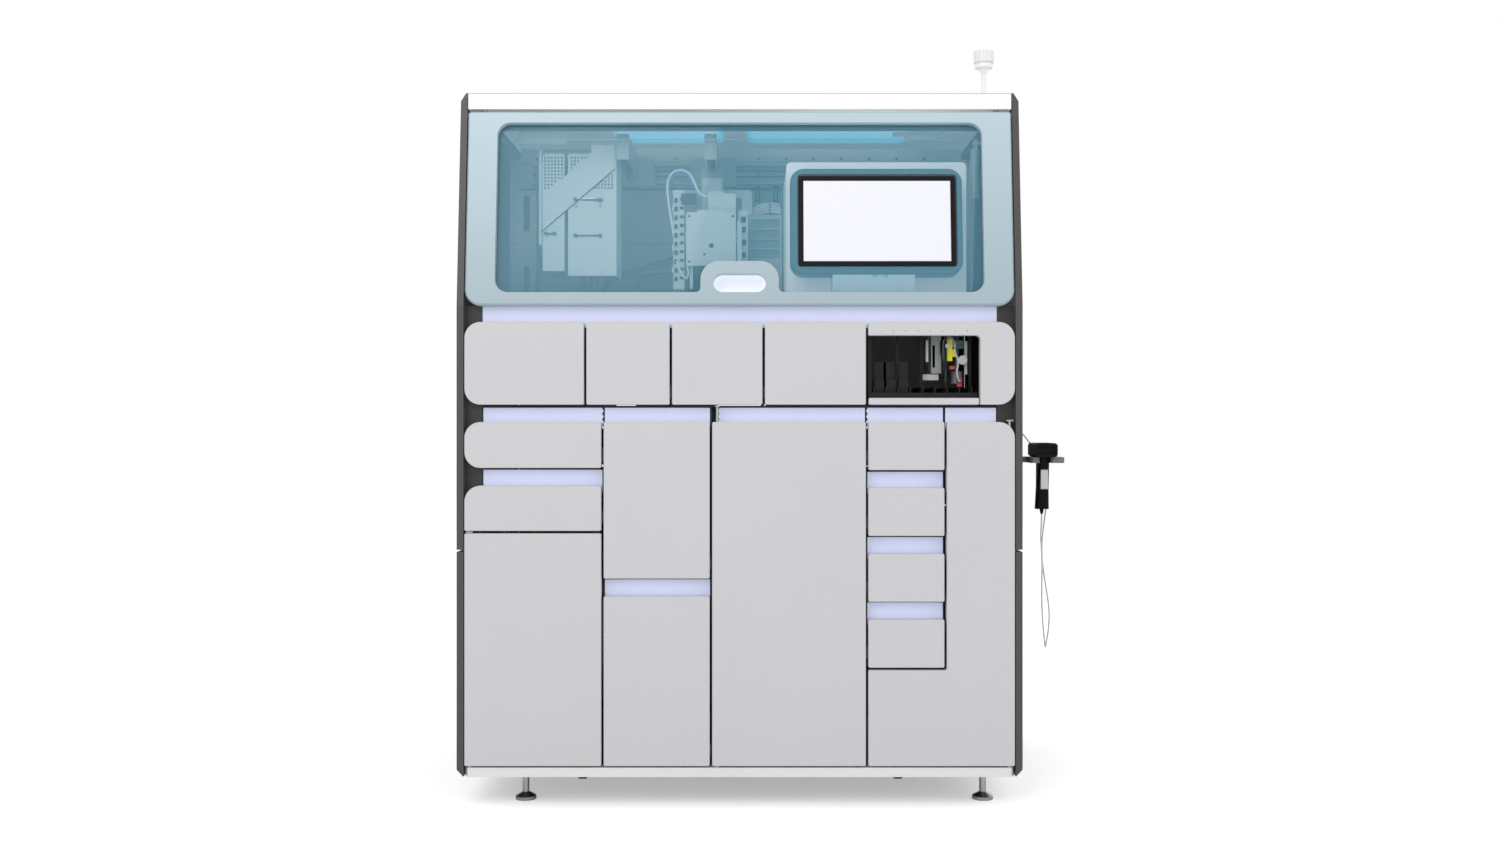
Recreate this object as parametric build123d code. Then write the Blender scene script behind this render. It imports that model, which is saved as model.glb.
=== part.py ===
from build123d import *
import math
import os

# Molecular diagnostic analyzer: a floor-standing cabinet with drawers and doors, a tilted hood over
# the work chamber, a touch screen, a rack bay and a hand scanner in a bracket on the right side.
# Millimetres, +X to the right, +Y to the back, +Z up. The cabinet's middle is modelled at X = 0 and
# the whole model is shifted at export so that the origin lies under the middle of the object's box.

# Cabinet outline
CAB_W = 1340.0
CAB_D = 790.0
ROOF_Z = 1706.0
BASE_Z = 74.0
PLINTH_TOP = 96.0
HOOD_Z = 1192.0
HOOD_TOP = 1663.0
COVER_Z = 1667.0
TILT = 5.9
SIDE_T = 16.0
SIDE_GAP = 2.0
SEAM_Z = 610.0
SEAM_GAP = 5.0
FLANGE_SET = 28.0
FLANGE_T = 3.0

# Fronts: drawers and doors
DOOR_Z = 100.0
GAP = 6.0
PANEL_T = 22.0
CORNER_R = 38.0
SMALL_R = 4.0
EDGE_R = 1.5
END_W, REAGENT_W, MIDDLE_W, WASTE_W = 164.0, 186.0, 370.0, 257.0
CARTRIDGE_W, TIP_W, PLATE_W = 245.0, 220.0, 203.0
ROW_TOP = 915.0
STRIP_TOP = 949.0
UPPER_Z = 956.0
UPPER_TOP = 1152.0
RAIL_Z = 1140.0
RAIL_SET = 30.0
STRIP_SET = 30.0
STRIP_T = 3.0
STRIP_LAP = 16.0
DIVIDER_T = 3.0
FRAME_SET = 37.0
FIT = 0.3

# Drawer trays and their runners
TRAY_WALL = 2.5
TRAY_SHORT = 270.0
RUNNER_T = 10.0
RUNNER_H = 28.0

# Door hinges
PIN_R = 3.0
PIN_FIT = 0.05
PIN_EDGE = 12.0
PIN_SET = 6.0
PIN_DEEP = 20.0
LUG_T = 3.0

# Feet and castors
FOOT_LEFT_IN, FOOT_RIGHT_IN = 132.0, 62.0
FOOT_IN = 90.0
FOOT_DISC_R = 25.0
FOOT_DISC_H = 8.0
FOOT_STEM_R = 8.0
CASTOR_IN = 257.0
CASTOR_FROM_FOOT = 110.0
WHEEL_R = 25.0
WHEEL_W = 22.0
WHEEL_Z = 45.0
AXLE_R = 4.0

# Hood
HOOD_RIM = 71.0
WINDOW_Z0 = 1223.0
WINDOW_Z1 = 1636.0
WINDOW_R = 32.0
HUMP_HALF = 93.0
HUMP_H = 75.0
HUMP_R = 44.0
HANDLE_HALF = 62.5
HANDLE_Z0 = 1223.0
HANDLE_H = 45.0
HOOD_T = 22.0
PANE_T = 4.0
HINGE_R = 5.0
HINGE_DROP = 12.0

# Touch screen, seen through a cut-out of the pane
SCREEN_FROM_END = 322.2
SCREEN_W, SCREEN_H = 376.4, 219.6
SCREEN_Z0 = 1292.0
CUT_MARGIN = 3.3
HOUSING_MARGIN = 19.8

# Work chamber
DECK_Z = 1160.0
DECK_T = 6.0
CHAMBER_TOP = 1660.0
BACK_WALL_SET = 290.0

# Worked out from the sizes above
FRONT_Y = -CAB_D / 2
BACK_Y = CAB_D / 2
FRONT_HALF = CAB_W / 2 - SIDE_T - SIDE_GAP
COVER_HALF = FRONT_HALF
FLANGE_X = FRONT_HALF - CORNER_R
WINDOW_HALF = FRONT_HALF - HOOD_RIM
END_X = FRONT_HALF - END_W
REAGENT_X = END_X - REAGENT_W
MIDDLE_X = REAGENT_X - MIDDLE_W
COLUMN_X = (MIDDLE_X - WASTE_W, MIDDLE_X, REAGENT_X, END_X)
UPPER_X = (REAGENT_X - CARTRIDGE_W - TIP_W - PLATE_W, REAGENT_X - CARTRIDGE_W - TIP_W, REAGENT_X - CARTRIDGE_W, REAGENT_X)
SCREEN_X = FRONT_HALF - SCREEN_FROM_END
SCREEN_X0, SCREEN_X1 = SCREEN_X - SCREEN_W / 2, SCREEN_X + SCREEN_W / 2
SCREEN_Z1 = SCREEN_Z0 + SCREEN_H
CUT_X0, CUT_X1 = SCREEN_X0 - CUT_MARGIN, SCREEN_X1 + CUT_MARGIN
CUT_Z0, CUT_Z1 = SCREEN_Z0 - CUT_MARGIN, SCREEN_Z1 + CUT_MARGIN
BACK_WALL_Y = BACK_Y - BACK_WALL_SET
TRAY_DEPTH = CAB_D - TRAY_SHORT
PANEL_BACK = FRONT_Y + PANEL_T
STRIP_Y = FRONT_Y + STRIP_SET
FRAME_Y = FRONT_Y + FRAME_SET
SIDE_X = CAB_W / 2 - SIDE_T


def bx(x0, x1, y0, y1, z0, z1):
    """A block between two corners."""
    size = (abs(x1 - x0), abs(y1 - y0), abs(z1 - z0))
    middle = ((x0 + x1) / 2, (y0 + y1) / 2, (z0 + z1) / 2)
    return Pos(*middle) * Box(*size)


def rod(r, x, y, z0, z1):
    """An upright cylinder."""
    return Pos(x, y, (z0 + z1) / 2) * Cylinder(r, abs(z1 - z0))


def rod_x(r, x0, x1, y, z):
    """A cylinder along X."""
    return Pos((x0 + x1) / 2, y, z) * Rot(0, 90, 0) * Cylinder(r, abs(x1 - x0))


def rod_y(r, y0, y1, x, z):
    """A cylinder along Y."""
    return Pos(x, (y0 + y1) / 2, z) * Rot(90, 0, 0) * Cylinder(r, abs(y1 - y0))


def outline(points, radii):
    """A closed face in the XZ plane with each corner rounded by its own radius."""
    face = make_face(Polyline(*points, close=True))
    for (x, z), r in zip(points, radii):
        if r > 0:
            corner = [v for v in face.vertices() if abs(v.X - x) < 1e-6 and abs(v.Y - z) < 1e-6]
            face = fillet(corner, r)
    return face


def plate(points, radii, y0, y1):
    """A flat plate with its face in XZ, from y0 back to y1."""
    face = outline(points, radii)
    return Pos(0, y1, 0) * Rot(90, 0, 0) * extrude(face, y1 - y0)


def rect_points(x0, x1, z0, z1):
    return [(x0, z0), (x1, z0), (x1, z1), (x0, z1)]


def front_panel(x0, x1, z0, z1, left_top=SMALL_R, right_top=SMALL_R, left_low=SMALL_R, right_low=SMALL_R):
    """A moulded front: a thick plate with a bevelled outer edge."""
    panel = plate(rect_points(x0, x1, z0, z1), (left_low, right_low, right_top, left_top), FRONT_Y, PANEL_BACK)
    return chamfer(panel.faces().sort_by(Axis.Y)[0].edges(), EDGE_R)


def grip_strip(x0, x1, z0, z1):
    """The recessed channel above a front that the fingers reach into."""
    back = bx(x0, x1, STRIP_Y, STRIP_Y + STRIP_T, z0 - STRIP_LAP, z1)
    foot = bx(x0, x1, PANEL_BACK, STRIP_Y, z0 - STRIP_LAP, z0 - STRIP_LAP + STRIP_T)
    return back + foot


def tilted(shape):
    """Lean a shape modelled upright at the front plane back about the hood's lower edge."""
    axis = Axis((0, FRONT_Y, HOOD_Z), (1, 0, 0))
    return shape.rotate(axis, -TILT)


def hood_y(z, depth=0.0):
    """The Y of the tilted face at a height, with a depth behind it."""
    return FRONT_Y + (z - HOOD_Z) * math.tan(math.radians(TILT)) + depth / math.cos(math.radians(TILT))


# Base, feet and castors
FRAME_INSET = 12.0
FRAME_BACK_SET = 25.0
FRAME_HALF = FRONT_HALF - FRAME_INSET
FRAME_BACK = BACK_Y - FRAME_BACK_SET
CHAMBER_X1 = FRAME_HALF - 10
CHAMBER_X0 = -CHAMBER_X1
FOOT_X = (-FRONT_HALF + FOOT_LEFT_IN, FRONT_HALF - FOOT_RIGHT_IN)
FOOT_Y = CAB_D / 2 - FOOT_IN
CASTOR_X = FRONT_HALF - CASTOR_IN
CASTOR_Y = FOOT_Y - CASTOR_FROM_FOOT
FLOOR_T = 3.0
POST_W = 30.0
RAIL_W = 60.0
NUT_H = 10.0
FORK_T = 4.0
FORK_GAP = 1.5


def base_frame():
    """Welded frame of flat tube under the floor, with cross members over the castors."""
    half, front, back = FRAME_HALF - 2, FRAME_Y + 4, FRAME_BACK
    frame = bx(-half, half, front, back, BASE_Z, PLINTH_TOP)
    for x0, x1 in ((-half + RAIL_W, -CASTOR_X - RAIL_W / 2), (-CASTOR_X + RAIL_W / 2, CASTOR_X - RAIL_W / 2),
                   (CASTOR_X + RAIL_W / 2, half - RAIL_W)):
        frame -= bx(x0, x1, front + RAIL_W, back - RAIL_W, BASE_Z, PLINTH_TOP)
    return [frame]


def levelling_feet():
    feet = []
    for x in FOOT_X:
        for y in (-FOOT_Y, FOOT_Y):
            profile = make_face(Polyline((0, 0), (FOOT_DISC_R, 0), (FOOT_DISC_R, FOOT_DISC_H),
                                         (FOOT_STEM_R + 6, FOOT_DISC_H + 6), (FOOT_STEM_R, FOOT_DISC_H + 10),
                                         (FOOT_STEM_R, BASE_Z), (0, BASE_Z), close=True))
            foot = revolve(Rot(90, 0, 0) * profile, Axis.Z)
            nut = extrude(RegularPolygon(FOOT_STEM_R + 7, 6), NUT_H)
            feet.append(Pos(x, y, 0) * (foot + Pos(0, 0, BASE_Z - NUT_H) * nut))
    return feet


def castor_places(y):
    return [(-CASTOR_X, y), (CASTOR_X, y)]


def castor_forks():
    """A pressed fork and its axle at each castor."""
    forks = []
    inner = WHEEL_W / 2 + FORK_GAP
    for x, y in castor_places(-CASTOR_Y) + castor_places(CASTOR_Y):
        fork = bx(x - inner - FORK_T, x + inner + FORK_T, y - WHEEL_R, y + WHEEL_R, BASE_Z - FORK_T, BASE_Z)
        for side in (-1, 1):
            cheek = bx(x + side * inner, x + side * (inner + FORK_T), y - 12, y + 12, WHEEL_Z - 10, BASE_Z - FORK_T)
            fork += cheek
        fork += rod_x(AXLE_R, x - inner - FORK_T - 3, x + inner + FORK_T + 3, y, WHEEL_Z)
        forks.append(fork)
    return forks


def castor_wheels(y):
    wheels = []
    for x, place_y in castor_places(y):
        wheel = rod_x(WHEEL_R, x - WHEEL_W / 2, x + WHEEL_W / 2, place_y, WHEEL_Z)
        wheel = chamfer(wheel.edges().filter_by(GeomType.CIRCLE), 2.5)
        for side in (-1, 1):
            face = x + side * WHEEL_W / 2
            dish = rod_x(WHEEL_R - 7, face - side * 3, face, place_y, WHEEL_Z)
            wheel -= dish - rod_x(AXLE_R + 4, face - side * 3, face, place_y, WHEEL_Z)
        wheel -= rod_x(AXLE_R + PIN_FIT, x - WHEEL_W, x + WHEEL_W, place_y, WHEEL_Z)
        wheels.append(wheel)
    return wheels


def base_plinth():
    """The white skirt round the base, with bevelled front corners."""
    half, front, back = FRONT_HALF, FRONT_Y + 2, BACK_Y - 4
    points = [(-half, front + 14), (-half + 8, front), (half - 8, front), (half, front + 14), (half, back), (-half, back)]
    skirt = extrude(make_face(Polyline(*points, close=True)), PLINTH_TOP - BASE_Z)
    skirt = Pos(0, 0, BASE_Z) * skirt
    fit = 2 - SIDE_GAP / 4
    skirt -= bx(-FRAME_HALF + fit, FRAME_HALF - fit, FRAME_Y + 4 - FIT, FRAME_BACK + 1, BASE_Z, PLINTH_TOP)
    return [skirt]


def cabinet_frame():
    """Floor, corner posts, upright dividers, the shelf under the upper row and the hood's header."""
    half, front, back = FRAME_HALF, FRAME_Y, FRAME_BACK
    shelf_z = STRIP_TOP + 2
    parts = bx(-half, half, front, back, PLINTH_TOP, PLINTH_TOP + FLOOR_T)
    parts += bx(-half, half, front, back, shelf_z, shelf_z + FLOOR_T)
    for x in (-half, half - POST_W):
        parts += bx(x, x + POST_W, back - POST_W, back, PLINTH_TOP, CHAMBER_TOP)
        parts += bx(x, x + POST_W, front, front + POST_W, PLINTH_TOP, HOOD_Z - 60)
    for x in COLUMN_X:
        low = LOWER_SHELF_Z if x == COLUMN_X[3] else PLINTH_TOP
        parts += bx(x - DIVIDER_T / 2, x + DIVIDER_T / 2, front, back, low, shelf_z)
    for x in UPPER_X:
        parts += bx(x - DIVIDER_T / 2, x + DIVIDER_T / 2, front, back, shelf_z, DECK_Z - 8)
    x0, x1 = COLUMN_X[2], COLUMN_X[3]
    parts += bx(x0, x1 + DIVIDER_T / 2, front, back, LOWER_SHELF_Z - FLOOR_T, LOWER_SHELF_Z)
    left, middle = COLUMN_X[0], COLUMN_X[1]
    parts += bx(-half, left, front, back, L3_TOP + 1.5, L3_TOP + 4.5)
    parts += bx(left, middle, front, back, C2_LOW_STRIP + 1, C2_LOW_STRIP + 4)
    parts += bx(-half, half, front + 60, front + 90, CHAMBER_TOP - 30, CHAMBER_TOP)
    parts += bx(-half, -half + POST_W, front + 60, back, CHAMBER_TOP - 30, CHAMBER_TOP)
    parts += bx(half - POST_W, half, front + 60, back, CHAMBER_TOP - 30, CHAMBER_TOP)
    return [parts]


def instrument_deck():
    """The deck plate of the work chamber, which rests on the dividers."""
    deck = bx(CHAMBER_X0, CHAMBER_X1, FRAME_Y + 8, BACK_WALL_Y, DECK_Z - 8, DECK_Z - 8 + DECK_T)
    return [deck]


def grip_rail():
    """The lavender rail above the upper row, recessed between the hood and the fronts."""
    y = FRONT_Y + RAIL_SET
    rail = bx(-FLANGE_X, FLANGE_X, y, y + 2, RAIL_Z, HOOD_Z)
    rail += bx(-FLANGE_X, FLANGE_X, y, FRAME_Y + 8, HOOD_Z - 2, HOOD_Z)
    rail += bx(-FLANGE_X, FLANGE_X, y, FRAME_Y, RAIL_Z + 12, RAIL_Z + 14)
    return [rail]


# Side panels: folded sheet with a thick bevelled front edge
SIDE_WALL = 2.5


def side_profile(z0, z1):
    """The side panel seen from the side, upright to the hood line and leaning back above it."""
    low = (FRONT_Y, z0)
    points = [low, (BACK_Y, z0), (BACK_Y, z1)]
    points.append((hood_y(max(z1, HOOD_Z)), z1))
    if z0 < HOOD_Z < z1:
        points.append((FRONT_Y, HOOD_Z))
    return points


SIDE_WINDOW = (FRONT_Y + 135, FRONT_Y + 455, HOOD_Z + 48, HOOD_Z + 338)
SIDE_WINDOW_R = 50.0


def side_window_face(inset=0.0):
    y0, y1, z0, z1 = SIDE_WINDOW
    points = rect_points(y0 + inset, y1 - inset, z0 + inset, z1 - inset)
    return outline(points, (SIDE_WINDOW_R - inset,) * 4)


def side_panels(side):
    """The upper and lower panel of one side, each a pan with a folded return at its front."""
    outer = side * CAB_W / 2
    panels = []
    for z0, z1 in ((BASE_Z, SEAM_Z - SEAM_GAP / 2), (SEAM_Z + SEAM_GAP / 2, ROOF_Z)):
        face = make_face(Polyline(*side_profile(z0, z1), close=True))
        skin = Plane.YZ * extrude(face, SIDE_T)
        skin = Pos(min(outer, outer - side * SIDE_T), 0, 0) * skin
        edge = z1 if z1 == ROOF_Z else z0
        slope = 12.0 if z1 == ROOF_Z else 17.0
        rise = 20.0 if z1 == ROOF_Z else 18.0
        away = -1 if z1 == ROOF_Z else 1
        corner = make_face(Polyline((outer, edge), (outer - side * slope, edge), (outer, edge + away * rise), close=True))
        skin -= Pos(0, BACK_Y + 1, 0) * Rot(90, 0, 0) * extrude(corner, CAB_D + 2)
        inner = outer - side * SIDE_T
        skin -= bx(outer - side * SIDE_WALL, inner, FRONT_Y + 45, BACK_Y - 20, z0 + 22, min(z1, HOOD_Z) - 25)
        if z1 == ROOF_Z:
            opening = Plane.YZ * extrude(side_window_face(), SIDE_T + 2)
            skin -= Pos(min(outer, inner) - 1, 0, 0) * opening
        panels.append(skin)
    y0 = FRONT_Y + FLANGE_SET
    for z0, z1 in ((PLINTH_TOP, SEAM_Z - SEAM_GAP / 2), (SEAM_Z + SEAM_GAP / 2, HOOD_Z)):
        panels.append(bx(side * FLANGE_X, inner, y0, y0 + FLANGE_T, z0, z1))
    return panels


def tinted_windows():
    """Acrylic panes: one in each side panel and two in the roof."""
    panes = []
    pane = Plane.YZ * extrude(side_window_face(FIT), PANE_T)
    for side in (-1, 1):
        x = side * (CAB_W / 2 - 6) - (PANE_T if side > 0 else 0)
        panes.append(Pos(x, 0, 0) * pane)
    for place in ROOF_PANES:
        panes.append(roof_block(place, 0, ROOF_Z - 14, ROOF_Z - 10))
    return panes


ROOF_PANES = ((-FRONT_HALF + 310, -48.0), (18.0, FRONT_HALF - 196))
ROOF_PANE_Y = (FRONT_Y + 400, FRONT_Y + 588)
ROOF_PANE_R = 34.0
COVER_WALL = 4.0


def roof_block(place, grow, z0, z1):
    """A block with rounded corners at a roof window, larger all round by grow."""
    width = place[1] - place[0] + 2 * grow
    depth = ROOF_PANE_Y[1] - ROOF_PANE_Y[0] + 2 * grow
    block = extrude(RectangleRounded(width, depth, ROOF_PANE_R + grow), z1 - z0)
    return Pos((place[0] + place[1]) / 2, sum(ROOF_PANE_Y) / 2, z0) * block


def top_cover():
    """The white roof: a shallow pan with two window openings and the beacon's hole."""
    front = hood_y(COVER_Z)
    cover = bx(-COVER_HALF, COVER_HALF, front, BACK_Y - 4, COVER_Z, ROOF_Z)
    cover = fillet(cover.faces().sort_by(Axis.Y)[0].edges().sort_by(Axis.Z)[-1], 4)
    cover -= bx(-COVER_HALF + COVER_WALL, COVER_HALF - COVER_WALL, front + COVER_WALL, BACK_Y - 4 - COVER_WALL,
                COVER_Z, ROOF_Z - COVER_WALL)
    for place in ROOF_PANES:
        cover += roof_block(place, 10, ROOF_Z - 10, ROOF_Z - COVER_WALL)
        cover -= roof_block(place, -8, COVER_Z, ROOF_Z)
    for x in (-FRAME_HALF + POST_W / 2, FRAME_HALF - POST_W / 2):
        for y in (FRAME_Y + 75, FRAME_BACK - POST_W / 2):
            cover += rod(8, x, y, CHAMBER_TOP, ROOF_Z - COVER_WALL)
    return [cover]


REAR_T = 2.0
LOUVRE_COUNT = 12


def rear_panels():
    """Two sheet-steel rear covers with cooling slots."""
    panels = []
    y = BACK_Y - 4
    for z0, z1 in ((PLINTH_TOP + 2, SEAM_Z + 60), (SEAM_Z + 64, COVER_Z - 2)):
        panel = bx(-SIDE_X + 1, SIDE_X - 1, y, y + REAR_T, z0, z1)
        panel += bx(-SIDE_X + 1, SIDE_X - 1, FRAME_BACK, y, z0, z0 + REAR_T)
        for column in (-380, 0, 380):
            for row in range(LOUVRE_COUNT):
                z = z0 + 110 + row * 16
                panel -= bx(column - 70, column + 70, y, y + REAR_T, z, z + 6)
        panels.append(panel)
    return panels


LINER_T = 2.0
WALL_RAIL_Z, WALL_RAIL_T, WALL_RAIL_H = 1401.0, 9.0, 12.0
WALL_POST_IN, WALL_POST_W, WALL_POST_T = 24.0, 52.0, 25.0


def chamber_liner():
    """The chamber's back wall, with a channel post at each end and a rail across at half height."""
    floor = DECK_Z - 8 + DECK_T
    half, y = CHAMBER_X1, BACK_WALL_Y
    parts = bx(-half, half, y, y + LINER_T, floor, CHAMBER_TOP - POST_W)
    parts += bx(-half + POST_W, half - POST_W, y, y + LINER_T, CHAMBER_TOP - POST_W, CHAMBER_TOP - 1)
    parts += bx(-half, half, y - WALL_RAIL_T, y, WALL_RAIL_Z, WALL_RAIL_Z + WALL_RAIL_H)
    for side in (-1, 1):
        outer, inner = side * (half - WALL_POST_IN), side * (half - WALL_POST_IN - WALL_POST_W)
        parts += bx(outer, inner, y - WALL_POST_T, y, floor, BEAM_Z0 - 10)
    return [parts]


# Beacon
BEACON_X, BEACON_Y = FRONT_HALF - 24, FRONT_Y + 300
MAST_R = 5.8
MAST_TOP = ROOF_Z + 122
BEACON_R = 26.0
BEACON_TOP = MAST_TOP + 43


def beacon_mast():
    mast = rod(MAST_R, BEACON_X, BEACON_Y, ROOF_Z, MAST_TOP)
    mast += rod(MAST_R + 8, BEACON_X, BEACON_Y, ROOF_Z, ROOF_Z + 5)
    mast += Pos(BEACON_X, BEACON_Y, MAST_TOP - 8) * Cone(MAST_R, MAST_R + 8, 16)
    return [mast]


def beacon_head():
    """The lamp: a ring, a groove and a ribbed crown."""
    z = MAST_TOP
    head = rod(BEACON_R - 3, BEACON_X, BEACON_Y, z, z + 10)
    head += rod(BEACON_R - 6, BEACON_X, BEACON_Y, z + 10, z + 14)
    head += rod(BEACON_R - 2, BEACON_X, BEACON_Y, z + 14, BEACON_TOP)
    for step in range(20):
        angle = step * 360 / 20
        rib = Pos(BEACON_R - 2, 0, (z + 14 + BEACON_TOP) / 2) * Box(4, 4, BEACON_TOP - z - 14)
        head += Pos(BEACON_X, BEACON_Y, 0) * Rot(0, 0, angle) * rib
    return [head]


# Hood: a moulded frame with its handle, hinged at its top edge
HINGE_Z = HOOD_TOP - HINGE_DROP
HINGE_Y = hood_y(HINGE_Z, HOOD_T / 2)
HINGE_DEEP = 30.0


def hood_frame():
    """Window frame with the grip hump that stands up into the pane and the slot through it."""
    z0, z1 = HOOD_Z, HOOD_TOP
    frame = plate(rect_points(-FRONT_HALF, FRONT_HALF, z0, z1), (CORNER_R, CORNER_R, 6, 6), FRONT_Y, FRONT_Y + HOOD_T)
    frame = chamfer(frame.faces().sort_by(Axis.Y)[0].edges(), 4)
    opening = outline(rect_points(-WINDOW_HALF, WINDOW_HALF, WINDOW_Z0, WINDOW_Z1), (WINDOW_R,) * 4)
    top = WINDOW_Z0 + HUMP_H
    hump = outline(rect_points(-HUMP_HALF, HUMP_HALF, WINDOW_Z0 - 1, top), (0, 0, HUMP_R, HUMP_R))
    opening = opening - hump
    foot = [v for v in opening.vertices() if abs(abs(v.X) - HUMP_HALF) < 1e-3 and abs(v.Y - WINDOW_Z0) < 1e-3]
    opening = fillet(foot, 12)
    frame -= Pos(0, FRONT_Y + HOOD_T + 1, 0) * Rot(90, 0, 0) * extrude(opening, HOOD_T + 2)
    low = HANDLE_Z0 + HANDLE_H
    slot = outline(rect_points(-HANDLE_HALF, HANDLE_HALF, HANDLE_Z0, low), (HANDLE_H / 2 - 0.01,) * 4)
    frame -= Pos(0, FRONT_Y + HOOD_T + 1, 0) * Rot(90, 0, 0) * extrude(slot, HOOD_T + 2)
    rim = rect_points(-WINDOW_HALF - 8, WINDOW_HALF + 8, WINDOW_Z0 - 8, WINDOW_Z1 + 8)
    rebate = plate(rim, (WINDOW_R,) * 4, FRONT_Y + HOOD_T - PANE_T, FRONT_Y + HOOD_T)
    keep = plate(rect_points(-HUMP_HALF - 30, HUMP_HALF + 30, WINDOW_Z0 - 8, WINDOW_Z0 + HUMP_H - 8), (0, 0, 30, 30),
                 FRONT_Y, FRONT_Y + HOOD_T)
    frame -= rebate - keep
    return [tilted(frame)]


def handle_pocket():
    """The white shell behind the handle slot that the fingers curl into."""
    y0 = FRONT_Y + HOOD_T
    z0, z1 = HANDLE_Z0 - 6, HANDLE_Z0 + HANDLE_H + 6
    pocket = plate(rect_points(-HANDLE_HALF - 6, HANDLE_HALF + 6, z0, z1), (26,) * 4, y0, y0 + 26)
    pocket -= plate(rect_points(-HANDLE_HALF - 3, HANDLE_HALF + 3, z0 + 3, z1 - 3), (24,) * 4, y0, y0 + 23)
    return [tilted(pocket)]


def hood_window():
    """The tinted acrylic pane in the frame's rebate, cut out round the touch screen."""
    y1 = FRONT_Y + HOOD_T
    edge = 7.5
    rim = rect_points(-WINDOW_HALF - edge, WINDOW_HALF + edge, WINDOW_Z0 - edge, WINDOW_Z1 + edge)
    pane = plate(rim, (WINDOW_R,) * 4, y1 - PANE_T, y1)
    pane -= plate(rect_points(-HUMP_HALF - 30.5, HUMP_HALF + 30.5, WINDOW_Z0 - 9, WINDOW_Z0 + HUMP_H - 7.5),
                  (0, 0, 30, 30), y1 - PANE_T, y1)
    pane -= plate(rect_points(CUT_X0, CUT_X1, CUT_Z0, CUT_Z1), (8,) * 4, y1 - PANE_T, y1)
    return [tilted(pane)]


def hood_pins():
    """The stub pins in the side panels that the hood turns on."""
    x0, x1 = FRONT_HALF - HINGE_DEEP + 1, SIDE_X
    return [rod_x(HINGE_R, side * x0, side * x1, HINGE_Y, HINGE_Z) for side in (-1, 1)]


# Lift strut: cylinder on the hood, rod down to a stud on the cabinet, open at the stud
STRUT_X = FRONT_HALF - 80
STRUT_TOP = (HINGE_Y + 28.0, HINGE_Z - 60)
STRUT_FOOT = (STRUT_TOP[0] + 58.5, HOOD_Z + 23)
STRUT_CLEAR = 1.5
STRUT_R = 12.0
STRUT_LONG = 120.0
ROD_R = 3.5
ROD_EYE_R = 9.0
ROD_HIDDEN = 70.0
EYE_T = 8.0
EYE_PIN_R = 4.0
STRUT_LEN = math.dist(STRUT_TOP, STRUT_FOOT)
STRUT_LEAN = math.degrees(math.atan2(STRUT_FOOT[0] - STRUT_TOP[0], STRUT_TOP[1] - STRUT_FOOT[1]))


def strut_placed(shape):
    """Place a strut piece that is modelled hanging straight down from the origin."""
    return Pos(STRUT_X, STRUT_TOP[0], STRUT_TOP[1]) * Rot(STRUT_LEAN, 0, 0) * shape


def strut_cylinder():
    body = Pos(0, 0, -STRUT_R - STRUT_LONG / 2) * Cylinder(STRUT_R, STRUT_LONG)
    body -= Pos(0, 0, -STRUT_R - STRUT_LONG / 2 - 10) * Cylinder(ROD_R + PIN_FIT, STRUT_LONG)
    eye = rod_x(STRUT_R, -EYE_T / 2, EYE_T / 2, 0, 0)
    eye += bx(-EYE_T / 2, EYE_T / 2, -STRUT_R, STRUT_R, -STRUT_R - 2, 0)
    body += eye
    hole = rod_x(EYE_PIN_R + PIN_FIT, -STRUT_R - 4, STRUT_R + 4, 0, 0)
    body = body - hole
    return [strut_placed(body)]


def strut_rod():
    start = STRUT_R + STRUT_LONG - ROD_HIDDEN
    shaft = Pos(0, 0, -(start + STRUT_LEN - 8) / 2) * Cylinder(ROD_R, STRUT_LEN - 8 - start)
    shaft += rod_x(ROD_EYE_R, -EYE_T / 2, EYE_T / 2, 0, -STRUT_LEN)
    return [strut_placed(shaft)]


def strut_lug():
    """The lug and pin on the hood frame that the cylinder hangs on."""
    y, z = STRUT_TOP
    x0 = STRUT_X + STRUT_R + STRUT_CLEAR
    back = hood_y(z, HOOD_T)
    lug = bx(x0, x0 + 6, back + 1, y + 9, z - 10, z + 10)
    lug += bx(x0, x0 + 26, back + 1, back + 7, z - 10, z + 10)
    lug += bx(x0 + 14, x0 + 26, back - 4, back + 1, z - 10, z + 10)
    lug -= tilted(bx(x0 - 1, x0 + 27, FRONT_Y, FRONT_Y + HOOD_T, HOOD_Z, HOOD_TOP))
    lug += rod_x(EYE_PIN_R, STRUT_X - EYE_T / 2 - 2, x0, y, z)
    return lug


def strut_stud():
    """The stud on the right frame post beside the rod's eye."""
    y, z = STRUT_FOOT
    return [rod_x(8, STRUT_X + EYE_T / 2 + STRUT_CLEAR, SIDE_X, y, z)]


# Touch screen and its pedestal
HOUSING_X0, HOUSING_X1 = SCREEN_X0 - HOUSING_MARGIN, SCREEN_X1 + HOUSING_MARGIN
HOUSING_Z0, HOUSING_Z1 = SCREEN_Z0 - 18, SCREEN_Z1 + 24.4
HOUSING_R = 34.0
BEZEL = 11.5
HOUSING_SET = 42.0
SCREEN_SET = HOOD_T + 4.0
PEDESTAL_X0, PEDESTAL_X1 = SCREEN_X - 106.8, SCREEN_X + 91.2


def screen_housing():
    y0 = FRONT_Y + HOUSING_SET
    housing = plate(rect_points(HOUSING_X0, HOUSING_X1, HOUSING_Z0, HOUSING_Z1), (HOUSING_R,) * 4, y0, y0 + 38)
    return [tilted(chamfer(housing.faces().sort_by(Axis.Y)[0].edges(), 5))]


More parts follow.
